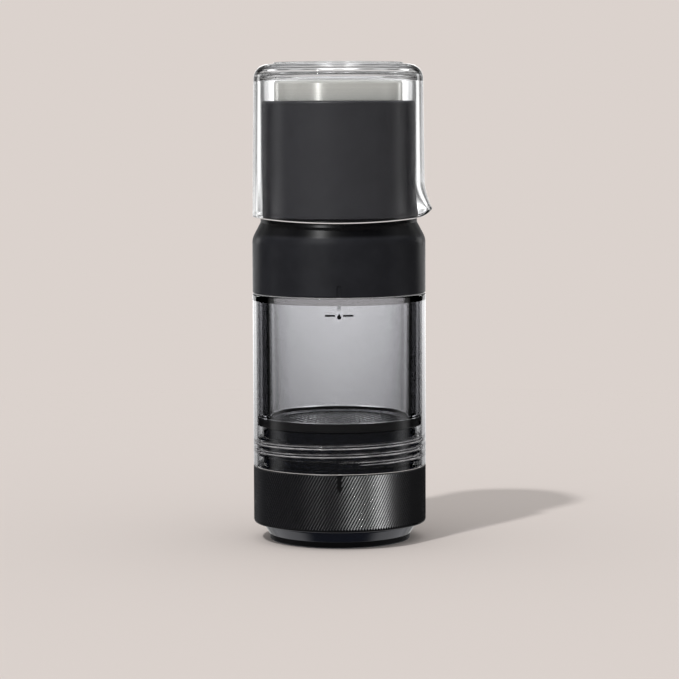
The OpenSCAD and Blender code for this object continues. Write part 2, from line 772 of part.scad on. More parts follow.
module flange_screws() {
    color("#b4b6b8")
        around(flange_screw_count, flange_screw_turn)
            translate([flange_screw_at, 0, 0])
                screw_up(flange_screw_d, flange_screw_head_d, flange_screw_head_h,
                    min(flange_screw_l, flange_t - flange_screw_head_h + collar_ledge_t), flange_z);
}

module outlet_valve() {
    stem_top_z = flange_z + piston_foot_gap / 2;
    color("#d9d6cf") {
        disc(valve_d / 2, cylinder_floor_z - valve_t, valve_t);
        translate([0, 0, cylinder_floor_z - valve_t / 2])
            cylinder(d = valve_stem_d, h = stem_top_z - cylinder_floor_z + valve_t / 2);
        disc(valve_stem_d / 2 + valve_bead, flange_z, piston_foot_gap / 2);
    }
}

module cylinder_head() {
    color("#26272b") {
        difference() {
            union() {
                disc(cylinder_bore_r - push_gap, head_z, head_t);
                disc(cylinder_r, cylinder_top_z, head_lip_t);
            }
            translate([0, 0, head_z - cut]) cylinder(d = bush_d, h = head_t + head_lip_t + 2 * cut);
            around(vent_count)
                translate([vent_at, 0, head_z - cut]) cylinder(d = vent_d, h = head_t + head_lip_t + 2 * cut);
        }
    }
}

module rod_bush() {
    color("#e4e2dc")
        ring(rod_r + running_gap, bush_d / 2 - push_gap / 2, head_z, head_t + head_lip_t);
}

module piston() {
    groove_r = piston_seal_r - piston_seal_w - push_gap;
    color("#2c2d31") {
        difference() {
            disc(piston_r, piston_z, piston_h);
            ring(groove_r, piston_r + cut, piston_groove_z - push_gap, piston_seal_h + 2 * push_gap);
            translate([0, 0, piston_top_z - rod_socket]) cylinder(r = rod_r + push_gap, h = rod_socket + cut);
            translate([0, 0, piston_z - cut]) cylinder(d = rod_screw_d + push_gap, h = piston_h);
            translate([0, 0, piston_z - cut])
                cylinder(d = rod_screw_head_d + 2 * push_gap, h = rod_screw_head_h + 2 * push_gap + cut);
        }
    }
}

module piston_seal() {
    color("#4a4b50") ring(piston_seal_r - piston_seal_w, piston_seal_r, piston_groove_z, piston_seal_h);
}

module piston_screw() {
    color("#b4b6b8")
        screw_up(rod_screw_d, rod_screw_head_d, rod_screw_head_h, rod_screw_l, piston_z + 2 * push_gap);
}

module piston_rod() {
    foot_z = piston_top_z - rod_socket;
    screw_depth = rod_screw_l + 2 * push_gap;
    low_hole_top = piston_z + rod_screw_head_h + screw_depth + push_gap;
    high_hole_foot = rod_top_z + rod_screw_head_h - screw_depth;
    color("#c4c6c8") {
        difference() {
            disc(rod_r, foot_z, rod_top_z - foot_z);
            translate([0, 0, foot_z - cut])
                cylinder(d = rod_screw_d + push_gap, h = low_hole_top - foot_z + cut);
            translate([0, 0, high_hole_foot])
                cylinder(d = rod_screw_d + push_gap, h = rod_top_z - high_hole_foot + cut);
        }
    }
}

module handle_core() {
    boss_top_z = cap_top_z - cap_wall - push_gap;
    seat_z = rod_top_z + rod_screw_head_h / 2;
    color("#26272b") {
        difference() {
            union() {
                disc(handle_bore_r - push_gap, core_z, core_plate_t);
                disc(core_boss_r, core_z, boss_top_z - core_z);
            }
            translate([0, 0, core_z - cut]) cylinder(r = rod_r + push_gap, h = rod_socket + cut);
            translate([0, 0, core_z]) cylinder(d = rod_screw_d + push_gap, h = boss_top_z - core_z);
            translate([0, 0, seat_z])
                cylinder(d = rod_screw_head_d + 2 * push_gap, h = boss_top_z - seat_z + cut);
        }
    }
}

module rod_screw() {
    head_z = rod_top_z + rod_screw_head_h / 2 + push_gap;
    color("#b4b6b8")
        translate([0, 0, head_z + rod_screw_head_h]) mirror([0, 0, 1])
            screw_up(rod_screw_d, rod_screw_head_d, rod_screw_head_h, rod_screw_l - rod_screw_head_h, 0);
}

module handle_sleeve() {
    lip_r = core_boss_r + push_gap;
    color("#38383b") {
        difference() {
            rounded_tube(lip_r, handle_r, handle_z, handle_top_z - handle_z, edge_r, handle_edge_r);
            ring(lip_r - cut, handle_bore_r, handle_z - cut, handle_lip_z - handle_z + cut);
        }
    }
}

module handle_cap() {
    color("#b6b6af") {
        difference() {
            rounded_tube(0, cap_r, handle_top_z, cap_h, 0, cap_edge_r);
            disc(cap_bore_r, handle_top_z - cut, cap_h - cap_wall + cut);
        }
    }
}

// Round channel that leans out through the wall on the +X side, down past the tip of the spout
module spout_channel(r) {
    lean = atan(spout_reach / (spout_h - spout_tip_lift));
    outer_r = spout_channel_r + carafe_wall;
    translate([carafe_r + spout_reach - outer_r / cos(lean), 0, carafe_z + spout_tip_lift])
        rotate([0, -lean, 0])
            translate([0, 0, -spout_h])
                cylinder(r = r, h = 2.5 * spout_h);
}

// Everything below the lip of the spout, which rises from the rim to the tip
module below_spout_lip() {
    reach = carafe_wall + spout_reach;
    slope = atan((spout_tip_lift - rim_bow) / reach);
    translate([carafe_bore_r, 0, carafe_z + rim_bow])
        rotate([0, -slope, 0])
            translate([0, -body_r, -body_r])
                cube([body_r, 2 * body_r, body_r]);
}

module carafe() {
    // The rim lies on a drum that bows it up by rim_bow at the sides
    drum_r = (carafe_r * carafe_r + rim_bow * rim_bow) / (2 * rim_bow);
    lip_r = carafe_r + rim_flare;
    ring_bore_r = carafe_ring_r - carafe_ring_w;
    color("#dfe6ea", 0.3) {
        intersection() {
            difference() {
                union() {
                    rotate_extrude() polygon(concat(
                        [[0, carafe_z], [lip_r, carafe_z], [lip_r, carafe_z + rim_flare_h / 3],
                         [carafe_r, carafe_z + rim_flare_h]],
                        arc(carafe_r - carafe_corner_r, carafe_shoulder_z - carafe_corner_r,
                            carafe_corner_r, 0, 90),
                        [[carafe_ring_r, carafe_shoulder_z], [carafe_ring_r, carafe_top_z],
                         [ring_bore_r, carafe_top_z], [ring_bore_r, carafe_shoulder_z],
                         [0, carafe_shoulder_z]]));
                    spout_channel(spout_channel_r + carafe_wall);
                }
                rotate_extrude() polygon(concat(
                    [[0, carafe_z - spout_h], [carafe_bore_r, carafe_z - spout_h]],
                    arc(carafe_bore_r - carafe_inner_r, carafe_floor_z - carafe_inner_r,
                        carafe_inner_r, 0, 90),
                    [[0, carafe_floor_z]]));
                spout_channel(spout_channel_r);
                below_spout_lip();
            }
            translate([0, 0, carafe_z + drum_r])
                rotate([90, 0, 0])
                    cylinder(r = drum_r, h = 4 * body_r, center = true, $fn = drum_sides);
        }
    }
}

foot_ring();
brew_basket();
grip_ring();
filter_support();
filter_disc();
filter_gasket();
filter_snap_ring();
basket_seal();
chamber_sleeve();
water_vessel();
fill_mark();
vessel_carrier_ring();
shower_plate();
lid_seal();
collar();
pump_cylinder();
flange_screws();
outlet_valve();
cylinder_head();
rod_bush();
piston();
piston_seal();
piston_screw();
piston_rod();
handle_core();
rod_screw();
handle_sleeve();
handle_cap();
carafe();
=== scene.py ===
"""Looks of a hand-pumped coffee brewer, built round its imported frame.

The brewer is stacked for storage: the knurled basket at the foot, the clear water chamber on it, then the pump
lid, and the clear carafe upside down over the pump handle. Sizes in the classes are millimetres, as in the
part's source; meshes are in metres, +Z up, with the front towards -Y.
"""

import json
import logging
import math
from dataclasses import dataclass, field
from enum import Enum
from typing import Callable, Iterable, Optional, Sequence, Union

import bmesh
import bpy
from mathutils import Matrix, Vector


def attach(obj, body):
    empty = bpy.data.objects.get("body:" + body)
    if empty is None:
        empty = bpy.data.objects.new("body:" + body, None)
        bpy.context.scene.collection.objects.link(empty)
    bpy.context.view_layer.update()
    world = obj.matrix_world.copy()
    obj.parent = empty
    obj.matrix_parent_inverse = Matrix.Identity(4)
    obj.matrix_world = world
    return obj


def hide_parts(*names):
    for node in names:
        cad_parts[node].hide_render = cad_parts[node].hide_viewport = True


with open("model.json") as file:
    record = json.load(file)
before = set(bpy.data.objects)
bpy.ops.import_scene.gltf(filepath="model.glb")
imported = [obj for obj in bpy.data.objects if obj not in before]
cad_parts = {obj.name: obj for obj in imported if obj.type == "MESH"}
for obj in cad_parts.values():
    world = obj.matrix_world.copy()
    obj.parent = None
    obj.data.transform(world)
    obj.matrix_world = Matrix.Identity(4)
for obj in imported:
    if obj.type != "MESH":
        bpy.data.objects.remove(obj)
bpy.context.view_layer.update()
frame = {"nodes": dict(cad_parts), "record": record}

LOG = logging.getLogger("brewer")
MM = 0.001
TURN = 2 * math.pi

Colour = tuple[float, float, float]
Point = tuple[float, float]
Corner = tuple[float, ...]
Operand = Union[float, int, "Signal"]


class Body(Enum):
    """Bodies of the frame that pieces ride on."""

    BASE = "base"
    BASKET_SEAL = "basket_seal"
    CHAMBER = "chamber"
    PUMP_LID = "pump_lid"
    HANDLE = "handle"
    CARAFE = "carafe"


class Slot(Enum):
    """Material slots of the record."""

    MOULDING = "black_moulding"
    KNURL = "knurled_black"
    SATIN = "black_satin"
    GREY_SATIN = "grey_satin"
    NICKEL = "satin_nickel"
    STEEL = "stainless_steel"
    SMOKE = "smoke_clear"
    GLASS = "clear_glass"
    RUBBER = "black_silicone"
    SEAL = "grey_silicone"
    VALVE = "white_silicone"
    ACETAL = "white_acetal"
    PRINT = "black_print"


# ---------------------------------------------------------------------------------------------- node graphs


class Signal:
    """Output socket of a node that takes part in Python arithmetic."""

    def __init__(self, graph: "Graph", socket: bpy.types.NodeSocket) -> None:
        """Keeps the graph and the socket."""
        self.graph = graph
        self.socket = socket

    def math(self, operation: str, *operands: Operand) -> "Signal":
        """One Math node.

        Args:
            operation: the node's operation.
            operands: its values or links, in order.
        Returns:
            The node's output.
        """
        node = self.graph.node("ShaderNodeMath", {"operation": operation}, dict(enumerate(operands)))
        return Signal(self.graph, node.outputs[0])

    def __add__(self, other: Operand) -> "Signal":
        """self + other."""
        return self.math("ADD", self, other)

    def __radd__(self, other: Operand) -> "Signal":
        """other + self."""
        return self.math("ADD", other, self)

    def __sub__(self, other: Operand) -> "Signal":
        """self - other."""
        return self.math("SUBTRACT", self, other)

    def __rsub__(self, other: Operand) -> "Signal":
        """other - self."""
        return self.math("SUBTRACT", other, self)

    def __mul__(self, other: Operand) -> "Signal":
        """self * other."""
        return self.math("MULTIPLY", self, other)

    def __rmul__(self, other: Operand) -> "Signal":
        """other * self."""
        return self.math("MULTIPLY", other, self)

    def __truediv__(self, other: Operand) -> "Signal":
        """self / other."""
        return self.math("DIVIDE", self, other)

    def __rtruediv__(self, other: Operand) -> "Signal":
        """other / self."""
        return self.math("DIVIDE", other, self)

    def of(self, operation: str, *others: Operand) -> "Signal":
        """A Math operation whose first operand is self."""
        return self.math(operation, self, *others)

    def clamp(self) -> "Signal":
        """self, held between 0 and 1."""
        return self.of("MAXIMUM", 0.0).of("MINIMUM", 1.0)

    def smooth(self, low: float, high: float) -> "Signal":
        """Smooth step from 0 at low to 1 at high."""
        node = self.graph.node("ShaderNodeMapRange", {"interpolation_type": "SMOOTHSTEP"},
                               {"Value": self, "From Min": low, "From Max": high})
        return Signal(self.graph, node.outputs[0])


class Graph:
    """A node tree and the one method that adds nodes to it."""

    def __init__(self, tree: bpy.types.NodeTree) -> None:
        """Starts on an empty tree."""
        self.tree = tree
        self.tree.nodes.clear()

    def node(self, kind: str, settings: Optional[dict] = None, inputs: Optional[dict] = None) -> bpy.types.Node:
        """Adds a node.

        Args:
            kind: the node's type.
            settings: its properties, set first; "stops" are a colour ramp's positions and greys.
            inputs: values or links of its sockets, by name or number.
        Returns:
            The new node.
        """
        node = self.tree.nodes.new(kind)
        for key, value in (settings or {}).items():
            if key == "stops":
                self.stops(node.color_ramp, value)
            else:
                setattr(node, key, value)
        for key, value in (inputs or {}).items():
            self.feed(node.inputs[key], value)
        return node

    def feed(self, socket: bpy.types.NodeSocket, value: object) -> None:
        """Links or sets one input socket."""
        if isinstance(value, Signal):
            self.tree.links.new(value.socket, socket)
        elif isinstance(value, bpy.types.NodeSocket):
            self.tree.links.new(value, socket)
        else:
            socket.default_value = value

    @staticmethod
    def stops(ramp: bpy.types.ColorRamp, stops: Sequence[Point]) -> None:
        """Gives a colour ramp its positions and greys."""
        while len(ramp.elements) < len(stops):
            ramp.elements.new(1.0)
        for element, (position, grey) in zip(ramp.elements, stops):
            element.position = position
            element.color = (grey, grey, grey, 1.0)

    def signal(self, kind: str, settings: Optional[dict] = None, inputs: Optional[dict] = None,
               output: Union[int, str] = 0) -> Signal:
        """Adds a node and returns one of its outputs."""
        return Signal(self, self.node(kind, settings, inputs).outputs[output])

    def blend(self, factor: Operand, first: object, second: object) -> Signal:
        """Mixes two colours, given as Signals or as RGBA values."""
        return self.signal("ShaderNodeMix", {"data_type": "RGBA"}, {0: factor, 6: first, 7: second}, 2)

    def object_place(self) -> bpy.types.NodeSocket:
        """Object coordinates, in metres."""
        return self.node("ShaderNodeTexCoord").outputs["Object"]

    def axes(self, vector: object) -> tuple[Signal, Signal, Signal]:
        """The three numbers of a vector."""
        node = self.node("ShaderNodeSeparateXYZ", {}, {0: vector})
        return tuple(Signal(self, output) for output in node.outputs)

    def noise(self, place: object, grain_mm: float, detail: float = 2.0) -> Signal:
        """Noise from 0 to 1 whose features are about grain_mm wide."""
        return self.signal("ShaderNodeTexNoise", {"noise_dimensions": "3D"},
                           {"Vector": place, "Scale": 1 / (grain_mm * MM), "Detail": detail}, "Fac")


# -------------------------------------------------------------------------------------------------- finishes


def rgba(colour: Colour, gain: float = 1.0) -> tuple[float, float, float, float]:
    """A colour socket's value."""
    return (min(1.0, colour[0] * gain), min(1.0, colour[1] * gain), min(1.0, colour[2] * gain), 1.0)


@dataclass(frozen=True)
class Finish:
    """What every finish has: a name, a colour and a roughness."""

    name: str
    colour: Colour
    roughness: float

    def material(self) -> bpy.types.Material:
        """Builds the material from the surface that the finish describes."""
        material = bpy.data.materials.new(self.name)
        material.use_nodes = True
        graph = Graph(material.node_tree)
        output = graph.node("ShaderNodeOutputMaterial", {}, {"Surface": self.surface(graph)})
        body = self.body(graph)
        if body:
            graph.feed(output.inputs["Volume"], body)
        return material

    def body(self, graph: Graph) -> Optional[bpy.types.NodeSocket]:
        """What fills the piece, for finishes that light goes into."""
        return None

    def surface(self, graph: Graph) -> bpy.types.NodeSocket:
        """The finish's shader output."""
        raise NotImplementedError


@dataclass(frozen=True)
class Moulded(Finish):
    """Moulded plastic or rubber: slight cloudiness in the colour, a fine grain and an uneven sheen, and where given,
    painted shade that darkens the colour above a height.
    """

    specular: float = 0.5
    cloud: float = 0.12
    cloud_mm: float = 9.0
    grain_mm: float = 0.16
    grain_depth: float = 0.12
    sheen_change: float = 0.04
    # Painted shade: heights in mm between which the colour darkens to 15 per cent, in place of a dark reflection.
    painted_shade_above: Optional[Point] = None

    def surface(self, graph: Graph) -> bpy.types.NodeSocket:
        """Principled shader with clouded colour, uneven roughness and grain as bump."""
        place = graph.object_place()
        cloud = graph.noise(place, self.cloud_mm, 3.0)
        colour = graph.blend(cloud.smooth(0.25, 0.75), rgba(self.colour, 1 - self.cloud),
                             rgba(self.colour, 1 + self.cloud))
        # Painted shade: the colour darkens above this height, standing in for the dark reflection on the collar's neck.
        if self.painted_shade_above:
            low, high = (value * MM for value in self.painted_shade_above)
            colour = graph.blend(graph.axes(place)[2].smooth(low, high), colour, rgba(self.colour, 0.15))
        patches = graph.noise(place, self.cloud_mm * 0.35)
        roughness = (patches - 0.5) * (2 * self.sheen_change) + self.roughness
        grain = graph.noise(place, self.grain_mm)
        bump = graph.node("ShaderNodeBump", {}, {"Strength": self.grain_depth, "Distance": 0.00002,
                                                 "Height": grain})
        shader = graph.node("ShaderNodeBsdfPrincipled", {}, {
            "Base Color": colour, "Roughness": roughness, "Normal": bump.outputs[0],
            "Specular IOR Level": self.specular})
        return shader.outputs[0]


@dataclass(frozen=True)
class Turned(Finish):
    """Metal with the fine rings of a lathe tool round its axis, on the faces as on the sides."""

    metallic: float = 1.0
    line_mm: float = 0.22
    line_depth: float = 0.25
    tone_change: float = 0.06

    def surface(self, graph: Graph) -> bpy.types.NodeSocket:
        """Principled shader whose rings follow the radius on faces and the height on sides."""
        place = graph.object_place()
        x, y, z = graph.axes(place)
        radius = (x * x + y * y).of("SQRT")
        ring = graph.node("ShaderNodeCombineXYZ", {}, {0: radius, 1: z, 2: 0.0})
        lines = graph.noise(ring.outputs[0], self.line_mm, 3.0)
        broad = graph.noise(ring.outputs[0], self.line_mm * 9, 1.0)
        colour = graph.blend(lines.smooth(0.3, 0.7), rgba(self.colour, 1 - self.tone_change),
                             rgba(self.colour, 1 + self.tone_change))
        roughness = (broad - 0.5) * 0.08 + self.roughness
        bump = graph.node("ShaderNodeBump", {}, {"Strength": self.line_depth, "Distance": 0.00003,
                                                 "Height": lines})
        shader = graph.node("ShaderNodeBsdfPrincipled", {}, {
            "Base Color": colour, "Roughness": roughness, "Metallic": self.metallic,
            "Normal": bump.outputs[0]})
        return shader.outputs[0]


@dataclass(frozen=True)
class Clear(Finish):
    """Clear polished wall. Light for shadows and for matt pieces behind it passes straight through.

    Painted highlights: where the edges would catch light, a matt white shader is mixed in as thin lines. Each of the
    edges is a height, a half width and a least radius, in millimetres, and bow is the rise of the heights at the two
    sides. Painted highlight lines go on the two edges of a thread's crest too: its helix is the height at the front,
    the pitch, the crest's half width, the line's half width, and how far up and out it goes.
    """

    ior: float = 1.55
    passed: Colour = (0.97, 0.97, 0.97)
    smoke_per_mm: float = 0.0
    smoke: Colour = (0.1, 0.1, 0.1)
    flow: float = 0.004
    wave_mm: float = 14.0
    edges: tuple[tuple[float, float, float], ...] = ()
    painted_highlight_tone: float = 1.0
    bow: float = 0.0
    crest_highlight_helix: Optional[tuple[float, float, float, float, float, float]] = None

    def body(self, graph: Graph) -> Optional[bpy.types.NodeSocket]:
        """Even smoke tint that deepens with the thickness, if the finish has one."""
        if not self.smoke_per_mm:
            return None
        return graph.node("ShaderNodeVolumeAbsorption", {}, {
            "Color": rgba(self.smoke), "Density": self.smoke_per_mm / MM}).outputs[0]

    def surface(self, graph: Graph) -> bpy.types.NodeSocket:
        """Clear shader with a faint flow in its tint, mixed with a plain pass for shadow and matt rays, and with
        painted white highlight lines on its edges.
        """
        place = graph.object_place()
        flow = graph.noise(place, self.wave_mm, 1.0)
        colour = graph.blend(flow, rgba(self.colour, 1 - self.flow), rgba(self.colour, 1 + self.flow))
        polish = graph.noise(place, self.wave_mm * 0.5, 2.0)
        shader = graph.node("ShaderNodeBsdfPrincipled", {}, {
            "Base Color": colour, "Roughness": polish * 0.004 + self.roughness, "IOR": self.ior,
            "Transmission Weight": 1.0})
        through = graph.node("ShaderNodeBsdfTransparent", {}, {"Color": rgba(self.passed)})
        path = graph.node("ShaderNodeLightPath")
        straight = Signal(graph, path.outputs["Is Shadow Ray"]).of("MAXIMUM", path.outputs["Is Diffuse Ray"])
        mix = graph.node("ShaderNodeMixShader", {}, {0: straight, 1: shader.outputs[0], 2: through.outputs[0]})
        if not self.edges:
            return mix.outputs[0]
        # Painted highlight: a matt white shader, mixed in on the edges and thread crests.
        lit = graph.node("ShaderNodeBsdfDiffuse", {}, {"Color": rgba((self.painted_highlight_tone,) * 3)})
        with_painted_highlights = graph.node("ShaderNodeMixShader", {}, {
            0: self.painted_highlight_share(graph, place), 1: mix.outputs[0], 2: lit.outputs[0]})
        return with_painted_highlights.outputs[0]

    def painted_highlight_share(self, graph: Graph, place: bpy.types.NodeSocket) -> Signal:
        """1 where white highlight lines are painted on edges and thread crests, 0 elsewhere."""
        x, y, z = graph.axes(place)
        square = x * x + y * y
        height = z - x * x / square * (self.bow * MM)
        share: Operand = 0.0
        for middle, half, least in self.edges:
            near = 1.0 - (height - middle * MM).of("ABSOLUTE").smooth(half * 0.6 * MM, half * MM)
            share = near * square.of("GREATER_THAN", (least * MM) ** 2) + share
        if self.crest_highlight_helix:
            front, pitch, crest, half, top, most = (value * MM for value in self.crest_highlight_helix)
            turn = (y.of("ARCTAN2", x) / TURN + 0.25).of("FRACT")
            level = (z - front) / pitch - turn
            away = ((level - level.of("ROUND")).of("ABSOLUTE") * pitch - crest).of("ABSOLUTE")
            # The painted crest lines vary in strength along the thread, from 0.3 to 0.85.
            painted_line_strength = graph.noise(place, 9.0, 1.0).smooth(0.3, 0.7) * 0.55 + 0.3
            there = square.of("LESS_THAN", most * most) * z.of("LESS_THAN", top) * painted_line_strength
            share = (1.0 - away.smooth(half * 0.4, half)) * there + share
        return share.clamp()


class Palette:
    """The brewer's materials, by slot."""

    FINISHES: dict[Slot, Finish] = {
        Slot.MOULDING: Moulded("black_moulding", (0.004, 0.005, 0.009), 0.13, specular=0.9, grain_depth=0.03),
        Slot.KNURL: Moulded("knurled_black", (0.004, 0.004, 0.0045), 0.34, specular=0.6, grain_depth=0.1),
        # The collar's neck gets painted shade above 134 to 136 mm, in place of its dark reflection.
        Slot.SATIN: Moulded("black_satin", (0.0145, 0.015, 0.0178), 0.3, specular=0.14, painted_shade_above=(134.0, 136.0)),
        Slot.GREY_SATIN: Moulded("grey_satin", (0.032, 0.032, 0.037), 0.42, specular=0.4, cloud=0.06),
        Slot.NICKEL: Turned("satin_nickel", (0.92, 0.92, 0.87), 0.22, metallic=0.25),
        Slot.STEEL: Turned("stainless_steel", (0.55, 0.56, 0.57), 0.25),
        # Painted white highlight lines: the chamber's top and bottom edges and its thread crests, and the carafe's rim.
        Slot.SMOKE: Clear("smoke_clear", (0.99, 0.99, 0.99), 0.0, smoke_per_mm=0.055, smoke=(0.1, 0.1, 0.16),
                          edges=((109.2, 0.3, 37.2), (33.0, 0.28, 37.0)), crest_highlight_helix=(37.375, 3.55, 0.65, 0.17, 48.0, 35.9)),
        Slot.GLASS: Clear("clear_glass", (0.99, 0.992, 0.995), 0.0, ior=1.54, edges=((140.9, 0.45, 36.2),), bow=1.7),
        Slot.RUBBER: Moulded("black_silicone", (0.005, 0.005, 0.006), 0.5, specular=0.35),
        Slot.SEAL: Moulded("grey_silicone", (0.05, 0.05, 0.055), 0.5, specular=0.35),
        Slot.VALVE: Moulded("white_silicone", (0.7, 0.68, 0.63), 0.5, cloud=0.04),
        Slot.ACETAL: Moulded("white_acetal", (0.75, 0.74, 0.70), 0.4, cloud=0.04),
        Slot.PRINT: Moulded("black_print", (0.004, 0.004, 0.004), 0.6, specular=0.2, grain_depth=0.05),
    }

    def __init__(self) -> None:
        """Builds every material once."""
        self.by_slot = {slot: finish.material() for slot, finish in self.FINISHES.items()}

    def __getitem__(self, slot: Slot) -> bpy.types.Material:
        """The material of a slot."""
        return self.by_slot[slot]


# ---------------------------------------------------------------------------------------------------- meshes


def fillet(corners: Sequence[Corner], steps: int = 6) -> list[Point]:
    """Rounds the corners of a closed outline.

    Args:
        corners: (r, z) or (r, z, radius), with the solid on the left of the direction of travel.
        steps: straight sides in a rounded corner.
    Returns:
        The outline's points, each rounded corner with a short straight run on either side of it.
    """
    points: list[Point] = []
    for index, corner in enumerate(corners):
        here = Vector(corner[:2])
        radius = corner[2] if len(corner) > 2 else 0.0
        if radius <= 0:
            points.append((here.x, here.y))
            continue
        back = (Vector(corners[index - 1][:2]) - here).normalized()
        ahead = (Vector(corners[(index + 1) % len(corners)][:2]) - here).normalized()
        half = back.angle(ahead) / 2
        run = radius / math.tan(half)
        centre = here + (back + ahead).normalized() * (radius / math.sin(half))
        first, last = here + back * run - centre, here + ahead * run - centre
        sweep = first.angle_signed(last)
        points.append(tuple(centre + first + back * (0.12 * radius)))
        for step in range(steps + 1):
            angle = math.atan2(first.y, first.x) - sweep * step / steps
            points.append((centre.x + radius * math.cos(angle), centre.y + radius * math.sin(angle)))
        points.append(tuple(centre + last + ahead * (0.12 * radius)))
    return points


def rows(r: float, low: float, high: float, step: float) -> list[Point]:
    """Points up or down a straight wall, about a step apart, both ends left out."""
    count = max(2, round(abs(high - low) / step))
    return [(r, low + (high - low) * i / count) for i in range(1, count)]


def link(name: str, vertices: Sequence[Sequence[float]], faces: Sequence[Sequence[int]]) -> bpy.types.Object:
    """Makes an object at the origin from vertices in metres."""
    mesh = bpy.data.meshes.new(name)
    mesh.from_pydata(vertices, [], faces)
    mesh.update()
    piece = bpy.data.objects.new(name, mesh)
    bpy.context.scene.collection.objects.link(piece)
    return piece


def smooth(piece: bpy.types.Object, sharp_deg: float = 32.0) -> bpy.types.Object:
    """Shades a piece smooth, with its hard edges kept."""
    piece.data.polygons.foreach_set("use_smooth", [True] * len(piece.data.polygons))
    piece.data.set_sharp_from_angle(angle=math.radians(sharp_deg))
    return piece


def revolve(name: str, outline: Sequence[Point], segments: int = 192,
            place: Optional[Callable[[float, float, float], Sequence[float]]] = None) -> bpy.types.Object:
    """Turns a closed outline round the axis.

    Args:
        name: the piece's name.
        outline: (r, z) in millimetres, with the solid on the left of the direction of travel.
        segments: sides round the axis.
        place: gives x, y and z from r, z and the angle, where the piece isn't round.
    Returns:
        The closed mesh as an object.
    """
    vertices: list[Sequence[float]] = []
    rings: list[list[int]] = []
    for r, z in outline:
        count = 1 if r < 1e-6 else segments
        rings.append(list(range(len(vertices), len(vertices) + count)))
        for step in range(count):
            angle = TURN * step / segments
            x, y, height = place(r, z, angle) if place else (r * math.cos(angle), r * math.sin(angle), z)
            vertices.append((x * MM, y * MM, height * MM))
    faces: list[Sequence[int]] = []
    for index, low in enumerate(rings):
        high = rings[(index + 1) % len(rings)]
        if len(low) == 1 and len(high) == 1:
            continue
        for step in range(segments):
            after = (step + 1) % segments
            corners = [low[step % len(low)], low[after % len(low)], high[after % len(high)],
                       high[step % len(high)]]
            faces.append(list(dict.fromkeys(corners)))
    return link(name, vertices, faces)


def prism(name: str, outline: Sequence[Point], depth: Sequence[float]) -> bpy.types.Object:
    """A straight block behind the front: an (x, z) outline between two distances along Y, all in mm."""
    near, far = depth
    count = len(outline)
    vertices = [(x * MM, y * MM, z * MM) for y in (near, far) for x, z in outline]
    faces: list[Sequence[int]] = [list(range(count)), list(range(2 * count - 1, count - 1, -1))]
    faces += [[i, i + count, (i + 1) % count + count, (i + 1) % count] for i in range(count)]
    piece = link(name, vertices, faces)
    turn_out(piece)
    return piece


def drum(x: float, y: float, r: float, low: float, high: float, sides: int = 24
         ) -> tuple[list[Sequence[float]], list[Sequence[int]]]:
    """Vertices and faces of an upright cylinder, in metres, for a cutter made of several."""
    ring = [(math.cos(TURN * i / sides) * r + x, math.sin(TURN * i / sides) * r + y) for i in range(sides)]
    vertices = [(px * MM, py * MM, z * MM) for z in (low, high) for px, py in ring]
    faces: list[Sequence[int]] = [list(range(sides - 1, -1, -1)), list(range(sides, 2 * sides))]
    faces += [[i, (i + 1) % sides, (i + 1) % sides + sides, i + sides] for i in range(sides)]
    return vertices, faces


def several(name: str, solids: Iterable[tuple[Sequence, Sequence]]) -> bpy.types.Object:
    """One object from several closed solids."""
    vertices: list[Sequence[float]] = []
    faces: list[Sequence[int]] = []
    for points, sides in solids:
        start = len(vertices)
        vertices += list(points)
        faces += [[start + i for i in side] for side in sides]
    return link(name, vertices, faces)


def turn_out(piece: bpy.types.Object) -> None:
    """Turns every face of a closed mesh outwards."""
    work = bmesh.new()
    work.from_mesh(piece.data)
    bmesh.ops.recalc_face_normals(work, faces=work.faces)
    work.to_mesh(piece.data)
    work.free()


def settle(piece: bpy.types.Object) -> bpy.types.Object:
    """Turns what the modifiers make of a piece into its plain mesh."""
    depsgraph = bpy.context.evaluated_depsgraph_get()
    mesh = bpy.data.meshes.new_from_object(piece.evaluated_get(depsgraph), preserve_all_data_layers=True,
                                           depsgraph=depsgraph)
    old = piece.data
    piece.modifiers.clear()
    piece.data = mesh
    mesh.name = piece.name
    bpy.data.meshes.remove(old)
    return piece


def combine(piece: bpy.types.Object, tool: bpy.types.Object, operation: str = "DIFFERENCE") -> None:
    """Cuts a tool out of a piece, or joins it on, and removes the tool."""
    modifier = piece.modifiers.new(operation.lower(), "BOOLEAN")
    modifier.operation = operation
    modifier.solver = "EXACT"
    modifier.object = tool
    settle(piece)
    discard(tool)


def discard(piece: bpy.types.Object) -> None:
    """Removes a helper and its mesh."""
    mesh = piece.data
    bpy.data.objects.remove(piece)
    bpy.data.meshes.remove(mesh)


# --------------------------------------------------------------------------------------------- geometry nodes


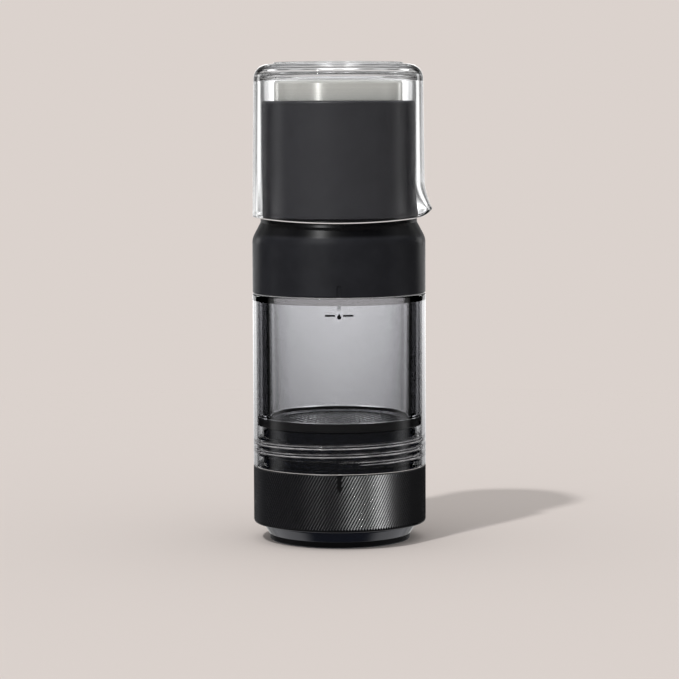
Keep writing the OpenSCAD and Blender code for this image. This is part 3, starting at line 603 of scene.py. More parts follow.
class Grower:
    """A geometry node tree with named inputs, which ends in Realize Instances and Set Material."""

    def __init__(self, name: str, **inputs: str) -> None:
        """Adds the group's sockets: each keyword is an input, with spaces for underscores."""
        self.tree = bpy.data.node_groups.new(name, "GeometryNodeTree")
        self.graph = Graph(self.tree)
        face = self.tree.interface
        face.new_socket(name="Geometry", in_out="INPUT", socket_type="NodeSocketGeometry")
        for key, kind in inputs.items():
            face.new_socket(name=key.replace("_", " "), in_out="INPUT", socket_type="NodeSocket" + kind)
        face.new_socket(name="Material", in_out="INPUT", socket_type="NodeSocketMaterial")
        face.new_socket(name="Geometry", in_out="OUTPUT", socket_type="NodeSocketGeometry")
        self.inputs = self.graph.node("NodeGroupInput")

    def input(self, name: str) -> Signal:
        """One of the group's inputs."""
        return Signal(self.graph, self.inputs.outputs[name])

    def place(self) -> tuple[Signal, Signal, Signal]:
        """The position of each point."""
        return self.graph.axes(self.graph.node("GeometryNodeInputPosition").outputs[0])

    def vector(self, x: Operand, y: Operand, z: Operand) -> Signal:
        """A vector from three numbers."""
        return self.graph.signal("ShaderNodeCombineXYZ", {}, {0: x, 1: y, 2: z})

    def close(self, geometry: object) -> None:
        """Ends the tree."""
        real = self.graph.node("GeometryNodeRealizeInstances", {}, {0: geometry})
        dressed = self.graph.node("GeometryNodeSetMaterial", {}, {"Geometry": real.outputs[0],
                                                                  "Material": self.input("Material")})
        self.graph.node("NodeGroupOutput", {}, {0: dressed.outputs[0]})

    def grow(self, piece: bpy.types.Object, **values: object) -> bpy.types.Object:
        """Runs the tree on a piece and keeps the plain mesh.

        Args:
            piece: the object to grow on.
            values: the inputs, with underscores for spaces.
        Returns:
            The piece.
        """
        modifier = piece.modifiers.new(self.tree.name, "NODES")
        modifier.node_group = self.tree
        for item in self.tree.interface.items_tree:
            key = item.name.replace(" ", "_")
            if item.item_type == "SOCKET" and item.in_out == "INPUT" and key in values:
                modifier[item.identifier] = values[key]
        return settle(piece)


class ThreadCutter(Grower):
    """Raises a right-handed helical ridge on a round wall, outwards or inwards."""

    def __init__(self) -> None:
        """Builds the tree."""
        super().__init__("screw_thread", Wall_Radius="Float", Depth="Float", Front_Height="Float",
                         Pitch="Float", Turns="Float", Crest_Width="Float", Root_Width="Float", Fade="Float")
        x, y, z = self.place()
        radius = (x * x + y * y).of("SQRT")
        on_wall = (radius - self.input("Wall Radius")).of("ABSOLUTE").of("LESS_THAN", 0.00005)
        share = (y.of("ARCTAN2", x) / TURN + 0.25).of("FRACT")
        level = (z - self.input("Front Height")) / self.input("Pitch")
        turn = (level - share).of("ROUND") + share
        away = ((level - turn) * self.input("Pitch")).of("ABSOLUTE")
        crest, root = self.input("Crest Width"), self.input("Root Width")
        height = ((root * 0.5 - away) / ((root - crest) * 0.5)).clamp()
        end = (turn.of("MINIMUM", self.input("Turns") - turn) / self.input("Fade")).clamp()
        rise = height * height * (3 - height * 2) * end * on_wall * self.input("Depth")
        shift = self.vector(x / radius * rise, y / radius * rise, 0.0)
        moved = self.graph.node("GeometryNodeSetPosition", {}, {
            "Geometry": self.inputs.outputs["Geometry"], "Offset": shift})
        self.close(moved.outputs[0])


class KnurlRoller(Grower):
    """Rolls rows of small diamond teeth on a drum, each row half a step on from the last, round a front notch.

    The teeth have ridges that rise to the right and almost meet, with shallow gaps the other way.
    """

    def __init__(self) -> None:
        """Builds the tree."""
        super().__init__("diamond_knurl", Columns="Int", Rows="Int", Core_Radius="Float", Foot_Height="Float",
                         Row_Rise="Float", Depth="Float", Tip_Share="Float", Ridge_Share="Float",
                         Notch_Half_Width="Float", Notch_Foot="Float")
        columns, row_count = self.input("Columns"), self.input("Rows")
        grid = self.graph.node("GeometryNodeMeshGrid", {}, {
            "Size X": columns - 1, "Size Y": row_count - 1, "Vertices X": columns, "Vertices Y": row_count})
        x, y, _ = self.place()
        column, row = (x + (columns - 1) * 0.5).of("ROUND"), (y + (row_count - 1) * 0.5).of("ROUND")
        angle = (column + row.of("FLOORED_MODULO", 2.0) * 0.5) / columns * TURN
        core, foot, rise = self.input("Core Radius"), self.input("Foot Height"), self.input("Row Rise")
        height = foot + row * rise
        place = self.vector(angle.of("COSINE") * core, angle.of("SINE") * core, height)
        points = self.graph.node("GeometryNodeSetPosition", {}, {"Geometry": grid.outputs[0], "Position": place})
        tooth = self.graph.node("GeometryNodeMeshCone", {"fill_type": "NGON"}, {
            "Vertices": 4, "Radius Top": self.input("Tip Share"), "Radius Bottom": 1.0, "Depth": 1.0})
        tx, ty, tz = self.place()
        pull = (tx + ty) / self.input("Tip Share") * self.input("Ridge Share") * 0.5
        ridged = self.graph.node("GeometryNodeSetPosition", {}, {
            "Geometry": tooth.outputs[0], "Selection": tz.of("GREATER_THAN", 0.5),
            "Offset": self.vector(pull, pull, 0.0)})
        fx, fy, fz = self.place()
        turned = self.graph.node("FunctionNodeAxesToRotation", {"primary_axis": "Z", "secondary_axis": "Y"}, {
            0: self.vector(fx / core, fy / core, 0.0), 1: (0.0, 0.0, 1.0)})
        size = self.vector(core * math.pi / columns, rise, self.input("Depth"))
        clear_side = fx.of("ABSOLUTE").of("GREATER_THAN", self.input("Notch Half Width"))
        behind = fy.of("GREATER_THAN", 0.0)
        below = fz.of("LESS_THAN", self.input("Notch Foot"))
        kept = clear_side.of("MAXIMUM", behind).of("MAXIMUM", below)
        rolled = self.graph.node("GeometryNodeInstanceOnPoints", {}, {
            "Points": points.outputs[0], "Selection": kept, "Instance": ridged.outputs[0],
            "Rotation": turned.outputs[0], "Scale": size})
        self.close(rolled.outputs[0])


class Perforator(Grower):
    """Lays six-sided tiles, each with a hole, side by side out to a radius."""

    def __init__(self) -> None:
        """Builds the tree."""
        super().__init__("perforated_plate", Tile="Object", Spacing="Float", Across="Int", Reach="Float",
                         Height="Float")
        spacing, across = self.input("Spacing"), self.input("Across")
        grid = self.graph.node("GeometryNodeMeshGrid", {}, {
            "Size X": across - 1, "Size Y": across - 1, "Vertices X": across, "Vertices Y": across})
        x, y, _ = self.place()
        row = y.of("ROUND")
        px = (x + row.of("FLOORED_MODULO", 2.0) * 0.5) * spacing
        py = y * spacing * math.sqrt(0.75)
        points = self.graph.node("GeometryNodeSetPosition", {}, {
            "Geometry": grid.outputs[0], "Position": self.vector(px, py, self.input("Height"))})
        fx, fy, _ = self.place()
        near = (fx * fx + fy * fy).of("SQRT").of("LESS_THAN", self.input("Reach"))
        tile = self.graph.node("GeometryNodeObjectInfo", {}, {"Object": self.input("Tile")})
        laid = self.graph.node("GeometryNodeInstanceOnPoints", {}, {
            "Points": points.outputs[0], "Selection": near, "Instance": tile.outputs["Geometry"]})
        self.close(laid.outputs[0])


# --------------------------------------------------------------------------------------------- sub-assemblies


@dataclass
class SubAssembly:
    """Pieces that are made together."""

    palette: Palette

    def dress(self, piece: bpy.types.Object, slot: Slot, body: Body, *nodes: str,
              sharp_deg: float = 32.0) -> bpy.types.Object:
        """Gives a finished piece its material, its body and the nodes that it stands for.

        Args:
            piece: the object.
            slot: its material slot.
            body: what it moves with.
            nodes: CAD nodes that it replaces.
            sharp_deg: edges sharper than this stay hard.
        Returns:
            The piece.
        """
        piece.data.materials.clear()
        piece.data.materials.append(self.palette[slot])
        smooth(piece, sharp_deg)
        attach(piece, body.value)
        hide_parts(*nodes)
        LOG.info("%s: %d faces, on %s", piece.name, len(piece.data.polygons), body.value)
        return piece


@dataclass
class Foot(SubAssembly):
    """Non-slip ring with shallow grooves in its face."""

    inner_r: float = 27.55
    outer_r: float = 31.05
    height: float = 2.7
    edge_r: float = 0.7
    groove_w: float = 0.5
    groove_depth: float = 0.3

    def build(self) -> None:
        """Makes the ring."""
        low: list[Corner] = [(self.inner_r, 0.0, 0.3)]
        step = (self.outer_r - self.inner_r) / 3
        for index in (1, 2):
            middle = self.inner_r + index * step - 0.1
            low += [(middle - self.groove_w / 2, 0.0), (middle - self.groove_w / 2, self.groove_depth),
                    (middle + self.groove_w / 2, self.groove_depth), (middle + self.groove_w / 2, 0.0)]
        outline = fillet(low + [(self.outer_r, 0.0, self.edge_r), (self.outer_r, self.height),
                                (self.inner_r, self.height)])
        self.dress(revolve("foot", outline), Slot.RUBBER, Body.BASE, "foot_ring")


@dataclass
class Thread:
    """Sizes of one side of the thread between basket and chamber."""

    wall_r: float
    depth: float
    front_z: float
    turns: float
    crest_w: float
    root_w: float = 1.8
    pitch: float = 3.55
    fade: float = 0.12

    def cut(self, cutter: ThreadCutter, piece: bpy.types.Object, material: bpy.types.Material) -> None:
        """Raises the thread on a piece's wall."""
        cutter.grow(piece, Wall_Radius=self.wall_r * MM, Depth=self.depth * MM, Front_Height=self.front_z * MM,
                    Pitch=self.pitch * MM, Turns=self.turns, Crest_Width=self.crest_w * MM,
                    Root_Width=self.root_w * MM, Fade=self.fade, Material=material)


@dataclass
class Basket(SubAssembly):
    """Brew basket: tapered spigot, outlet, filter ledge, stop flange and the outer thread."""

    cutter: Optional[ThreadCutter] = None
    outlet_r: float = 26.0
    spigot_tip_r: float = 31.4
    spigot_r: float = 34.0
    body_r: float = 34.4
    flange_r: float = 35.9
    root_r: float = 34.2
    bore_r: float = 29.0
    foot_z: float = 2.7
    straight_z: float = 7.0
    grip_z: float = 7.8
    flange_z: float = 33.0
    flange_top_z: float = 34.4
    rim_z: float = 50.6
    ledge_z: float = 13.0
    seal_r: Point = (30.2, 33.0)
    seal_z: Point = (50.6, 51.9)

    def build(self) -> None:
        """Makes the basket with its thread, and the seal on its rim."""
        outline = fillet([
            (self.outlet_r, self.foot_z, 0.3), (self.spigot_tip_r, self.foot_z, 0.45),
            (self.spigot_r, self.straight_z, 1.2), (self.spigot_r, self.grip_z + 0.1),
            (self.body_r, self.grip_z + 0.1), (self.body_r, self.flange_z), (self.flange_r, self.flange_z),
            (self.flange_r, self.flange_top_z, 0.3), (self.root_r, self.flange_top_z)])
        outline += rows(self.root_r, self.flange_top_z, self.rim_z - 0.5, 0.12)
        outline += fillet([(self.root_r, self.rim_z - 0.5), (self.root_r, self.rim_z, 0.35),
                           (self.bore_r, self.rim_z, 0.35), (self.bore_r, self.ledge_z)])
        outline += [(self.outlet_r, self.ledge_z)]
        piece = revolve("basket", outline, 224)
        thread = Thread(self.root_r, self.flange_r - self.root_r, 35.6, 2.9, 0.9)
        thread.cut(self.cutter, piece, self.palette[Slot.MOULDING])
        self.dress(piece, Slot.MOULDING, Body.BASE, "brew_basket", sharp_deg=50)
        (low_r, high_r), (low_z, high_z) = self.seal_r, self.seal_z
        seal = revolve("rim_seal", fillet([(low_r, low_z, 0.2), (high_r, low_z, 0.2), (high_r, high_z, 0.4),
                                           (low_r, high_z, 0.4)], 4), 128)
        self.dress(seal, Slot.SEAL, Body.BASKET_SEAL, "basket_seal")


@dataclass
class Grip(SubAssembly):
    """Knurled grip ring with the pointer notch at its front."""

    roller: Optional[KnurlRoller] = None
    bore_r: float = 34.5
    outer_r: float = 38.1
    low_z: float = 7.8
    high_z: float = 33.0
    edge_r: float = 0.7
    knurl_depth: float = 0.36
    knurl_columns: int = 184
    knurl_rows: int = 20
    knurl_first_z: float = 9.4
    knurl_rise: float = 1.18
    notch_w: float = 2.1
    notch_h: float = 7.2
    notch_tip: float = 2.0
    notch_depth: float = 0.5

    def build(self) -> None:
        """Makes the drum, its notch and the knurl."""
        core_r = self.outer_r - self.knurl_depth
        shoulder = core_r + 0.16
        outline = fillet([
            (self.bore_r, self.low_z), (self.outer_r - 0.1, self.low_z, self.edge_r),
            (self.outer_r - 0.1, self.low_z + 0.9), (core_r, self.low_z + 0.95), (core_r, self.high_z - 0.62),
            (shoulder, self.high_z - 0.58), (self.outer_r - 0.08, self.high_z - 0.3),
            (self.outer_r - 0.3, self.high_z), (self.bore_r, self.high_z)])
        drum_piece = revolve("grip", outline, 256)
        half, foot = self.notch_w / 2, self.high_z - self.notch_h
        floor = -self.outer_r + self.notch_depth
        notch = prism("notch", [(-half, foot + self.notch_tip), (0, foot), (half, foot + self.notch_tip),
                                (half, self.high_z + 1), (-half, self.high_z + 1)], (floor, -self.outer_r - 2))
        combine(drum_piece, notch)
        self.dress(drum_piece, Slot.KNURL, Body.BASE, "grip_ring")
        teeth = link("grip_knurl", [(0, 0, 0)], [])
        self.roller.grow(
            teeth, Columns=self.knurl_columns, Rows=self.knurl_rows, Core_Radius=(core_r - 0.02) * MM,
            Foot_Height=self.knurl_first_z * MM, Row_Rise=self.knurl_rise * MM,
            Depth=(self.knurl_depth + 0.02) * MM, Tip_Share=0.05, Ridge_Share=0.85, Notch_Half_Width=(half + 0.2) * MM,
            Notch_Foot=(foot - 0.4) * MM, Material=self.palette[Slot.KNURL])
        teeth.data.materials.clear()
        teeth.data.materials.append(self.palette[Slot.KNURL])
        teeth.data.polygons.foreach_set("use_smooth", [False] * len(teeth.data.polygons))
        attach(teeth, Body.BASE.value)
        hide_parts("grip_ring")
        LOG.info("%s: %d faces, on %s", teeth.name, len(teeth.data.polygons), Body.BASE.value)


@dataclass
class Chamber(SubAssembly):
    """Clear chamber: outer sleeve with the skirt's thread, and the thick vessel welded into its top."""

    cutter: Optional[ThreadCutter] = None
    outer_r: float = 38.1
    sleeve_bore_r: float = 36.2
    vessel_r: float = 35.9
    vessel_bore_r: float = 31.4
    vessel_foot_bore_r: float = 30.6
    corner_r: float = 1.8
    neck_r: float = 34.0
    lug_r: float = 35.7
    low_z: float = 33.0
    vessel_z: float = 53.6
    flange_z: float = 106.0
    bevel: float = 0.5
    top_z: float = 109.2
    neck_z: float = 117.0
    lug_z: Point = (113.0, 115.4)
    lug_deg: float = 28.0
    groove_w: float = 1.75
    groove_depth: float = 0.25
    upper_groove_z: float = 103.3
    lower_groove_z: float = 36.9

    def build(self) -> None:
        """Makes the clear walls."""
        outline = fillet([
            (self.sleeve_bore_r, self.low_z, 0.25), (self.outer_r, self.low_z, 0.35),
            (self.outer_r, self.top_z, 0.9), (self.neck_r, self.top_z, 0.3), (self.neck_r, self.neck_z, 0.4),
            (self.vessel_bore_r, self.neck_z, 0.4), (self.vessel_bore_r + self.bevel, self.top_z, 0.4),
            (self.vessel_bore_r - self.bevel, self.flange_z - 0.6, 0.4),
            (self.vessel_foot_bore_r, self.vessel_z, 0.5), (self.vessel_r, self.vessel_z, self.corner_r),
            (self.vessel_r, self.flange_z), (self.sleeve_bore_r, self.flange_z)], 8)
        outline += rows(self.sleeve_bore_r, self.flange_z, 48.0, 6.0) + [(self.sleeve_bore_r, 48.0)]
        outline += rows(self.sleeve_bore_r, 48.0, 35.5, 0.12) + [(self.sleeve_bore_r, 35.5)]
        walls = revolve("chamber_walls", outline, 256)
        for angle in range(4):
            combine(walls, self.lug(math.radians(45 + 90 * angle)), "UNION")
        half = self.groove_w / 2
        floor = -self.outer_r + self.groove_depth
        for low, high in ((self.upper_groove_z, self.top_z + 1), (self.low_z - 1, self.lower_groove_z)):
            block = prism("groove", [(-half, low), (half, low), (half, high), (-half, high)],
                          (floor, -self.outer_r - 2))
            combine(walls, block)
        thread = Thread(self.sleeve_bore_r, -1.5, 37.375, 2.4, 0.6)
        thread.cut(self.cutter, walls, self.palette[Slot.SMOKE])
        self.dress(walls, Slot.SMOKE, Body.CHAMBER, "chamber_sleeve", "water_vessel", sharp_deg=40)

    def lug(self, middle: float) -> bpy.types.Object:
        """One lug of the twist lock, let into the neck."""
        half = math.radians(self.lug_deg) / 2
        steps = 8
        angles = [middle - half + 2 * half * i / steps for i in range(steps + 1)]
        arcs = [(self.lug_r, angle) for angle in angles] + [(self.neck_r - 0.6, a) for a in reversed(angles)]
        flat = [(r * math.cos(a), r * math.sin(a)) for r, a in arcs]
        count = len(flat)
        vertices = [(x * MM, y * MM, z * MM) for z in self.lug_z for x, y in flat]
        faces: list[Sequence[int]] = [list(range(count - 1, -1, -1)), list(range(count, 2 * count))]
        faces += [[i, (i + 1) % count, (i + 1) % count + count, i + count] for i in range(count)]
        piece = link("lug", vertices, faces)
        turn_out(piece)
        return piece


@dataclass
class FillMark(SubAssembly):
    """Printed drop between two dashes, in the outer face of the chamber."""

    face_r: float = 38.1
    back_r: float = 37.9
    middle_z: float = 101.6
    dash: Point = (1.65, 6.15)
    dash_h: float = 0.8
    drop_r: float = 0.9
    drop_h: float = 2.5
    drop_sink: float = 0.35

    def build(self) -> None:
        """Makes the three solids of the mark as one piece."""
        near, far = self.dash
        half = self.dash_h / 2
        solids = [self.solid([(a + (b - a) * i / 8, sign * half) for sign, (a, b) in
                              ((-1, (low, high)), (1, (high, low))) for i in range(9)])
                  for low, high in ((-far, -near), (near, far))]
        solids.append(self.solid(self.drop()))
        piece = several("fill_line", solids)
        turn_out(piece)
        self.dress(piece, Slot.PRINT, Body.CHAMBER, "fill_mark")

    def drop(self) -> list[Point]:
        """Outline of the drop, about the middle of the mark."""
        tip = self.drop_h - self.drop_r
        side = math.acos(self.drop_r / tip)
        centre = self.drop_r - self.drop_h / 2 - self.drop_sink
        start, sweep = math.pi / 2 + side, TURN - 2 * side
        ring = [(self.drop_r * math.cos(start + sweep * i / 28),
                 centre + self.drop_r * math.sin(start + sweep * i / 28)) for i in range(29)]
        return ring + [(0.0, centre + tip)]

    def solid(self, outline: Sequence[Point]) -> tuple[list[Sequence[float]], list[Sequence[int]]]:
        """A thin solid bent round the chamber from an outline on its front."""
        count = len(outline)
        vertices = []
        for r in (self.face_r, self.back_r):
            for x, z in outline:
                angle = x / self.face_r
                vertices.append((r * math.sin(angle) * MM, -r * math.cos(angle) * MM,
                                 (self.middle_z + z) * MM))
        faces: list[Sequence[int]] = [list(range(count)), list(range(2 * count - 1, count - 1, -1))]
        faces += [[(i + 1) % count, i, i + count, (i + 1) % count + count] for i in range(count)]
        return vertices, faces


@dataclass
class ShowerFloor(SubAssembly):
    """Bottom of the vessel: the black coved ring that carries it, and the perforated plate."""

    perforator: Optional[Perforator] = None
    bore_r: float = 30.6
    ledge_r: float = 28.6
    outer_r: float = 36.1
    cove_r: float = 34.1
    low_z: float = 51.2
    lip_z: float = 54.9
    cove_z: float = 55.4
    corner: float = 1.75
    plate_z: Point = (52.1, 53.3)
    plate_r: float = 30.5
    hole_r: float = 0.75
    dish_r: float = 1.6
    dish_depth: float = 0.2
    spacing: float = 3.7
    reach: float = 26.2

    def build(self) -> None:
        """Makes the ring and the plate."""
        top = math.acos((self.cove_z - self.lip_z) / self.corner)
        cove = [(self.cove_r + self.corner * math.cos(a), self.cove_z + self.corner * math.sin(a))
                for a in (-math.pi / 2 + top * (1 - i / 10) for i in range(11))]
        outline = fillet([(self.ledge_r, self.low_z, 0.2), (self.outer_r, self.low_z, 0.45),
                          (self.outer_r, self.lip_z, 0.12)]) + cove
        outline += [(self.bore_r, self.cove_z - self.corner), (self.bore_r, self.plate_z[0]),
                    (self.ledge_r, self.plate_z[0])]
        self.dress(revolve("carrier", outline, 224), Slot.RUBBER, Body.CHAMBER, "vessel_carrier_ring")
        low, high = self.plate_z
        rim = revolve("shower_rim", fillet([
            (self.reach + 0.2, low - 0.02), (self.plate_r, low - 0.02), (self.plate_r, high + 0.25, 0.2),
            (self.reach + 1.3, high + 0.25, 0.2), (self.reach + 0.8, high + 0.04)], 4), 192)
        self.dress(rim, Slot.MOULDING, Body.CHAMBER, "shower_plate")
        tile = self.tile()
        plate = link("shower_holes", [(0, 0, 0)], [])
        self.perforator.grow(plate, Tile=tile, Spacing=self.spacing * MM, Across=19, Reach=self.reach * MM,
                             Height=high * MM, Material=self.palette[Slot.MOULDING])
        discard(tile)
        self.dress(plate, Slot.MOULDING, Body.CHAMBER, "shower_plate", sharp_deg=25)

    def tile(self) -> bpy.types.Object:
        """A six-sided tile with a dished hole, its upper face at height zero."""
        half = self.spacing / 2
        sides = 12
        thick = self.plate_z[1] - self.plate_z[0]
        levels = [("hex", 0.0), (self.dish_r, 0.0), (self.hole_r, -self.dish_depth), (self.hole_r, -thick),
                  ("hex", -thick)]
        vertices = []
        for r, z in levels:
            for i in range(sides):
                angle = TURN * i / sides
                reach = half / math.cos((angle + math.pi / 6) % (math.pi / 3) - math.pi / 6) if r == "hex" else r
                vertices.append((reach * math.cos(angle) * MM, reach * math.sin(angle) * MM, z * MM))
        faces = [[level * sides + i, (level + 1) % 5 * sides + i, (level + 1) % 5 * sides + (i + 1) % sides,
                  level * sides + (i + 1) % sides] for level in range(5) for i in range(sides)]
        piece = link("tile", vertices, faces)
        turn_out(piece)
        return piece


@dataclass
class PumpLid(SubAssembly):
    """Satin collar with its rounded shoulder, and the pump cylinder inside it."""

    outer_r: float = 38.1
    bore_r: float = 36.1
    neck_r: float = 34.4
    inside_neck_r: float = 32.4
    cylinder_hole_r: float = 31.4
    low_z: float = 109.2
    ledge_z: Point = (121.5, 124.5)
    shoulder_z: float = 131.2
    bend_r: float = 8.0
    lean_deg: float = 27.0
    neck_z: float = 140.2
    top_z: float = 142.0
    edge_r: float = 0.7
    lug_z: Point = (109.6, 112.6)
    lug_deg: float = 28.0
    notch_w: float = 2.1
    notch_h: float = 5.2
    notch_depth: float = 0.5

    def build(self) -> None:
        """Makes the collar with its lugs and notch, and the cylinder."""
        lean = math.radians(self.lean_deg)
        bend = [(self.outer_r - self.bend_r * (1 - math.cos(lean * i / 10)),
                 self.shoulder_z + self.bend_r * math.sin(lean * i / 10)) for i in range(11)]
        roof = self.neck_z - self.edge_r
        low = fillet([(self.bore_r, self.low_z, 0.3), (self.outer_r, self.low_z, self.edge_r),
                      (self.outer_r, self.shoulder_z - 1.0), bend[-1]])[:-2]
        high = fillet([bend[-1], (self.neck_r, self.neck_z, 0.9), (self.neck_r, self.top_z, self.edge_r),
                       (self.cylinder_hole_r, self.top_z, 0.3), (self.cylinder_hole_r, roof),
                       (self.inside_neck_r, roof), (self.bore_r, self.shoulder_z),
                       (self.bore_r, self.ledge_z[1]), (self.cylinder_hole_r, self.ledge_z[1]),
                       (self.cylinder_hole_r, self.ledge_z[0]), (self.bore_r, self.ledge_z[0])])
        collar = revolve("lid_collar", low + [(self.outer_r, self.shoulder_z - 1.0)] + bend[:-1] + high, 256)
        half, floor = self.notch_w / 2, -self.outer_r + self.notch_depth
        notch = prism("notch", [(-half, self.low_z - 1), (half, self.low_z - 1),
                                (half, self.low_z + self.notch_h - 0.5),
                                (half - 0.5, self.low_z + self.notch_h),
                                (-half + 0.5, self.low_z + self.notch_h),
                                (-half, self.low_z + self.notch_h - 0.5)], (floor, -self.outer_r - 2))
        combine(collar, notch)
        for index in range(4):
            combine(collar, self.lug(math.pi / 2 * index), "UNION")
        self.dress(collar, Slot.SATIN, Body.PUMP_LID, "collar")
        self.cylinder()

    def lug(self, middle: float) -> bpy.types.Object:
        """One lug inside the collar, which passes between those of the vessel."""
        half = math.radians(self.lug_deg) / 2
        angles = [middle - half + half * i / 4 for i in range(9)]
        flat = [((self.bore_r + 0.8) * math.cos(a), (self.bore_r + 0.8) * math.sin(a)) for a in angles]
        flat += [(self.neck_r * math.cos(a), self.neck_r * math.sin(a)) for a in reversed(angles)]
        count = len(flat)
        vertices = [(x * MM, y * MM, z * MM) for z in self.lug_z for x, y in flat]
        faces: list[Sequence[int]] = [list(range(count)), list(range(2 * count - 1, count - 1, -1))]
        faces += [[i, i + count, (i + 1) % count + count, (i + 1) % count] for i in range(count)]
        piece = link("lug", vertices, faces)
        turn_out(piece)
        return piece

    def cylinder(self) -> None:
        """Makes the pump cylinder with its plug, flange, seal groove and holes."""
        outline = fillet([
            (0.0, 115.5), (26.0, 115.5), (26.0, 110.0, 0.3), (31.2, 110.0, 0.4), (31.2, 111.7), (29.74, 111.7),
            (29.74, 114.7), (31.2, 114.7), (31.2, 118.0), (36.0, 118.0, 0.3), (36.0, 121.5), (31.3, 121.5),
            (31.3, 188.0, 0.2), (29.3, 188.0, 0.2), (29.3, 118.0), (0.0, 118.0)])
        piece = revolve("pump_barrel", outline, 192)
        holes = [drum(4.5 * math.cos(TURN * i / 6), 4.5 * math.sin(TURN * i / 6), 1.0, 114.5, 119.0)
                 for i in range(6)]
        holes.append(drum(0.0, 0.0, 1.55, 114.5, 119.0))
        quarter = [math.radians(45 + 90 * i) for i in range(4)]
        holes += [drum(33.65 * math.cos(a), 33.65 * math.sin(a), 1.2, 117.0, 122.5) for a in quarter]
        combine(piece, several("holes", holes))
        heads = [drum(33.65 * math.cos(a), 33.65 * math.sin(a), 2.0, 117.0, 119.7) for a in quarter]
        combine(piece, several("heads", heads))
        self.dress(piece, Slot.SATIN, Body.PUMP_LID, "pump_cylinder")


@dataclass
class Handle(SubAssembly):
    """Grey sleeve that the hand lifts, and the metal cap on it."""

    sleeve_r: float = 33.6
    sleeve_bore_r: float = 31.6
    low_z: float = 142.3
    lip_z: float = 191.4
    top_z: float = 193.0
    lip_r: float = 27.0
    cap_r: float = 28.2
    cap_bore_r: float = 27.0
    cap_top_z: float = 202.0
    cap_wall: float = 1.2
    cap_edge_r: float = 1.6

    def build(self) -> None:
        """Makes the sleeve and the cap."""
        sleeve = revolve("handle_grip", fillet([
            (self.sleeve_bore_r, self.low_z, 0.3), (self.sleeve_r, self.low_z, 0.7),
            (self.sleeve_r, self.top_z, 1.2), (self.lip_r, self.top_z, 0.2), (self.lip_r, self.lip_z),
            (self.sleeve_bore_r, self.lip_z)], 8), 256)
        self.dress(sleeve, Slot.GREY_SATIN, Body.HANDLE, "handle_sleeve")
        cap = revolve("handle_top", fillet([
            (self.cap_bore_r, self.top_z + 0.02), (self.cap_r, self.top_z + 0.02, 0.15),
            (self.cap_r, self.cap_top_z, self.cap_edge_r), (0.0, self.cap_top_z),
            (0.0, self.cap_top_z - self.cap_wall), (self.cap_bore_r, self.cap_top_z - self.cap_wall, 0.6)],
            8), 256)
        self.dress(cap, Slot.NICKEL, Body.HANDLE, "handle_cap")


@dataclass
class CarafeGlass(SubAssembly):
    """Clear carafe upside down: thick base on top, bowed flared rim and a pulled spout towards +X."""

    wall_r: float = 37.15
    bore_r: float = 35.2
    lip_r: float = 37.9
    rim_z: float = 140.8
    floor_z: float = 203.3
    shoulder_z: float = 209.2
    top_z: float = 210.0
    corner_r: float = 6.3
    inner_r: float = 1.6
    ring: Point = (26.0, 28.4)
    rim_bow: float = 1.7
    spout_reach: float = 3.3
    spout_lift: float = 3.3
    spout_h: float = 16.0
    spout_deg: float = 13.0
    lip_edge: float = 0.5

    def build(self) -> None:
        """Makes the carafe as one closed wall."""
        low = fillet([(self.bore_r, self.rim_z, self.lip_edge), (self.lip_r, self.rim_z, self.lip_edge),
                      (self.wall_r, self.shoulder_z - self.corner_r)])[:-1]
        top, count = self.shoulder_z - self.corner_r, 48
        outer = low + [(self.lip_r + (self.wall_r - self.lip_r) * i / count,
                        self.rim_z + 1.2 + (top - self.rim_z - 1.2) * i / count) for i in range(1, count)]
        ring_in, ring_out = self.ring
        cap = fillet([(self.wall_r, self.shoulder_z - self.corner_r - 2),
                      (self.wall_r, self.shoulder_z, self.corner_r), (ring_out, self.shoulder_z, 0.3),
                      (ring_out, self.top_z, 0.35), (ring_in, self.top_z, 0.35), (ring_in, self.shoulder_z, 0.5),
                      (0.0, self.shoulder_z - 0.3), (0.0, self.floor_z + 0.2),
                      (self.bore_r, self.floor_z, self.inner_r),
                      (self.bore_r, self.floor_z - self.inner_r - 2)], 10)[1:-1]
        inner = rows(self.bore_r, self.floor_z - self.inner_r, self.rim_z + 1.2, 1.2)
        piece = revolve("carafe_wall", outer + cap + inner, 320, self.bent)
        turn_out(piece)
        self.dress(piece, Slot.GLASS, Body.CARAFE, "carafe", sharp_deg=50)

    def bent(self, r: float, z: float, angle: float) -> tuple[float, float, float]:
        """Bows the rim up at the sides and pulls the spout out of the wall.

        Args:
            r: radius on the round carafe.
            z: height on the round carafe.
            angle: direction from +X.
        Returns:
            The moved point.
        """
        turned = math.degrees((angle + math.pi) % TURN - math.pi)
        side = math.exp(-0.5 * (turned / self.spout_deg) ** 2)
        above = z - self.rim_z
        near_rim = max(0.0, 1 - above / self.spout_h)
        bow = self.rim_bow * math.cos(angle) ** 2 * max(0.0, 1 - above / 25) ** 2
        lift = self.spout_lift * side ** 1.5 * near_rim ** 2
        pull = self.spout_reach * side * near_rim ** 1.2
        radius = r + (pull if r > self.bore_r - 0.5 else 0.0)
        return radius * math.cos(angle), radius * math.sin(angle), z + bow + lift


@dataclass
class Inside(SubAssembly):
    """CAD pieces that stay as they are, hidden in the brewer, with their finishes."""

    def build(self) -> None:
        """Gives each CAD node that no piece replaces the material of its slot."""
        slots = {part["node"]: Slot(part["material_slot"]) for part in frame["record"]["subparts"]}
        for name, node in sorted(frame["nodes"].items()):
            if node.hide_render:
                continue
            for index in range(max(1, len(node.material_slots))):
                if node.material_slots:
                    node.material_slots[index].link = "OBJECT"
                    node.material_slots[index].material = self.palette[slots[name]]
            LOG.info("%s: CAD node in %s", name, slots[name].value)


# ---------------------------------------------------------------------------------------------------- studio


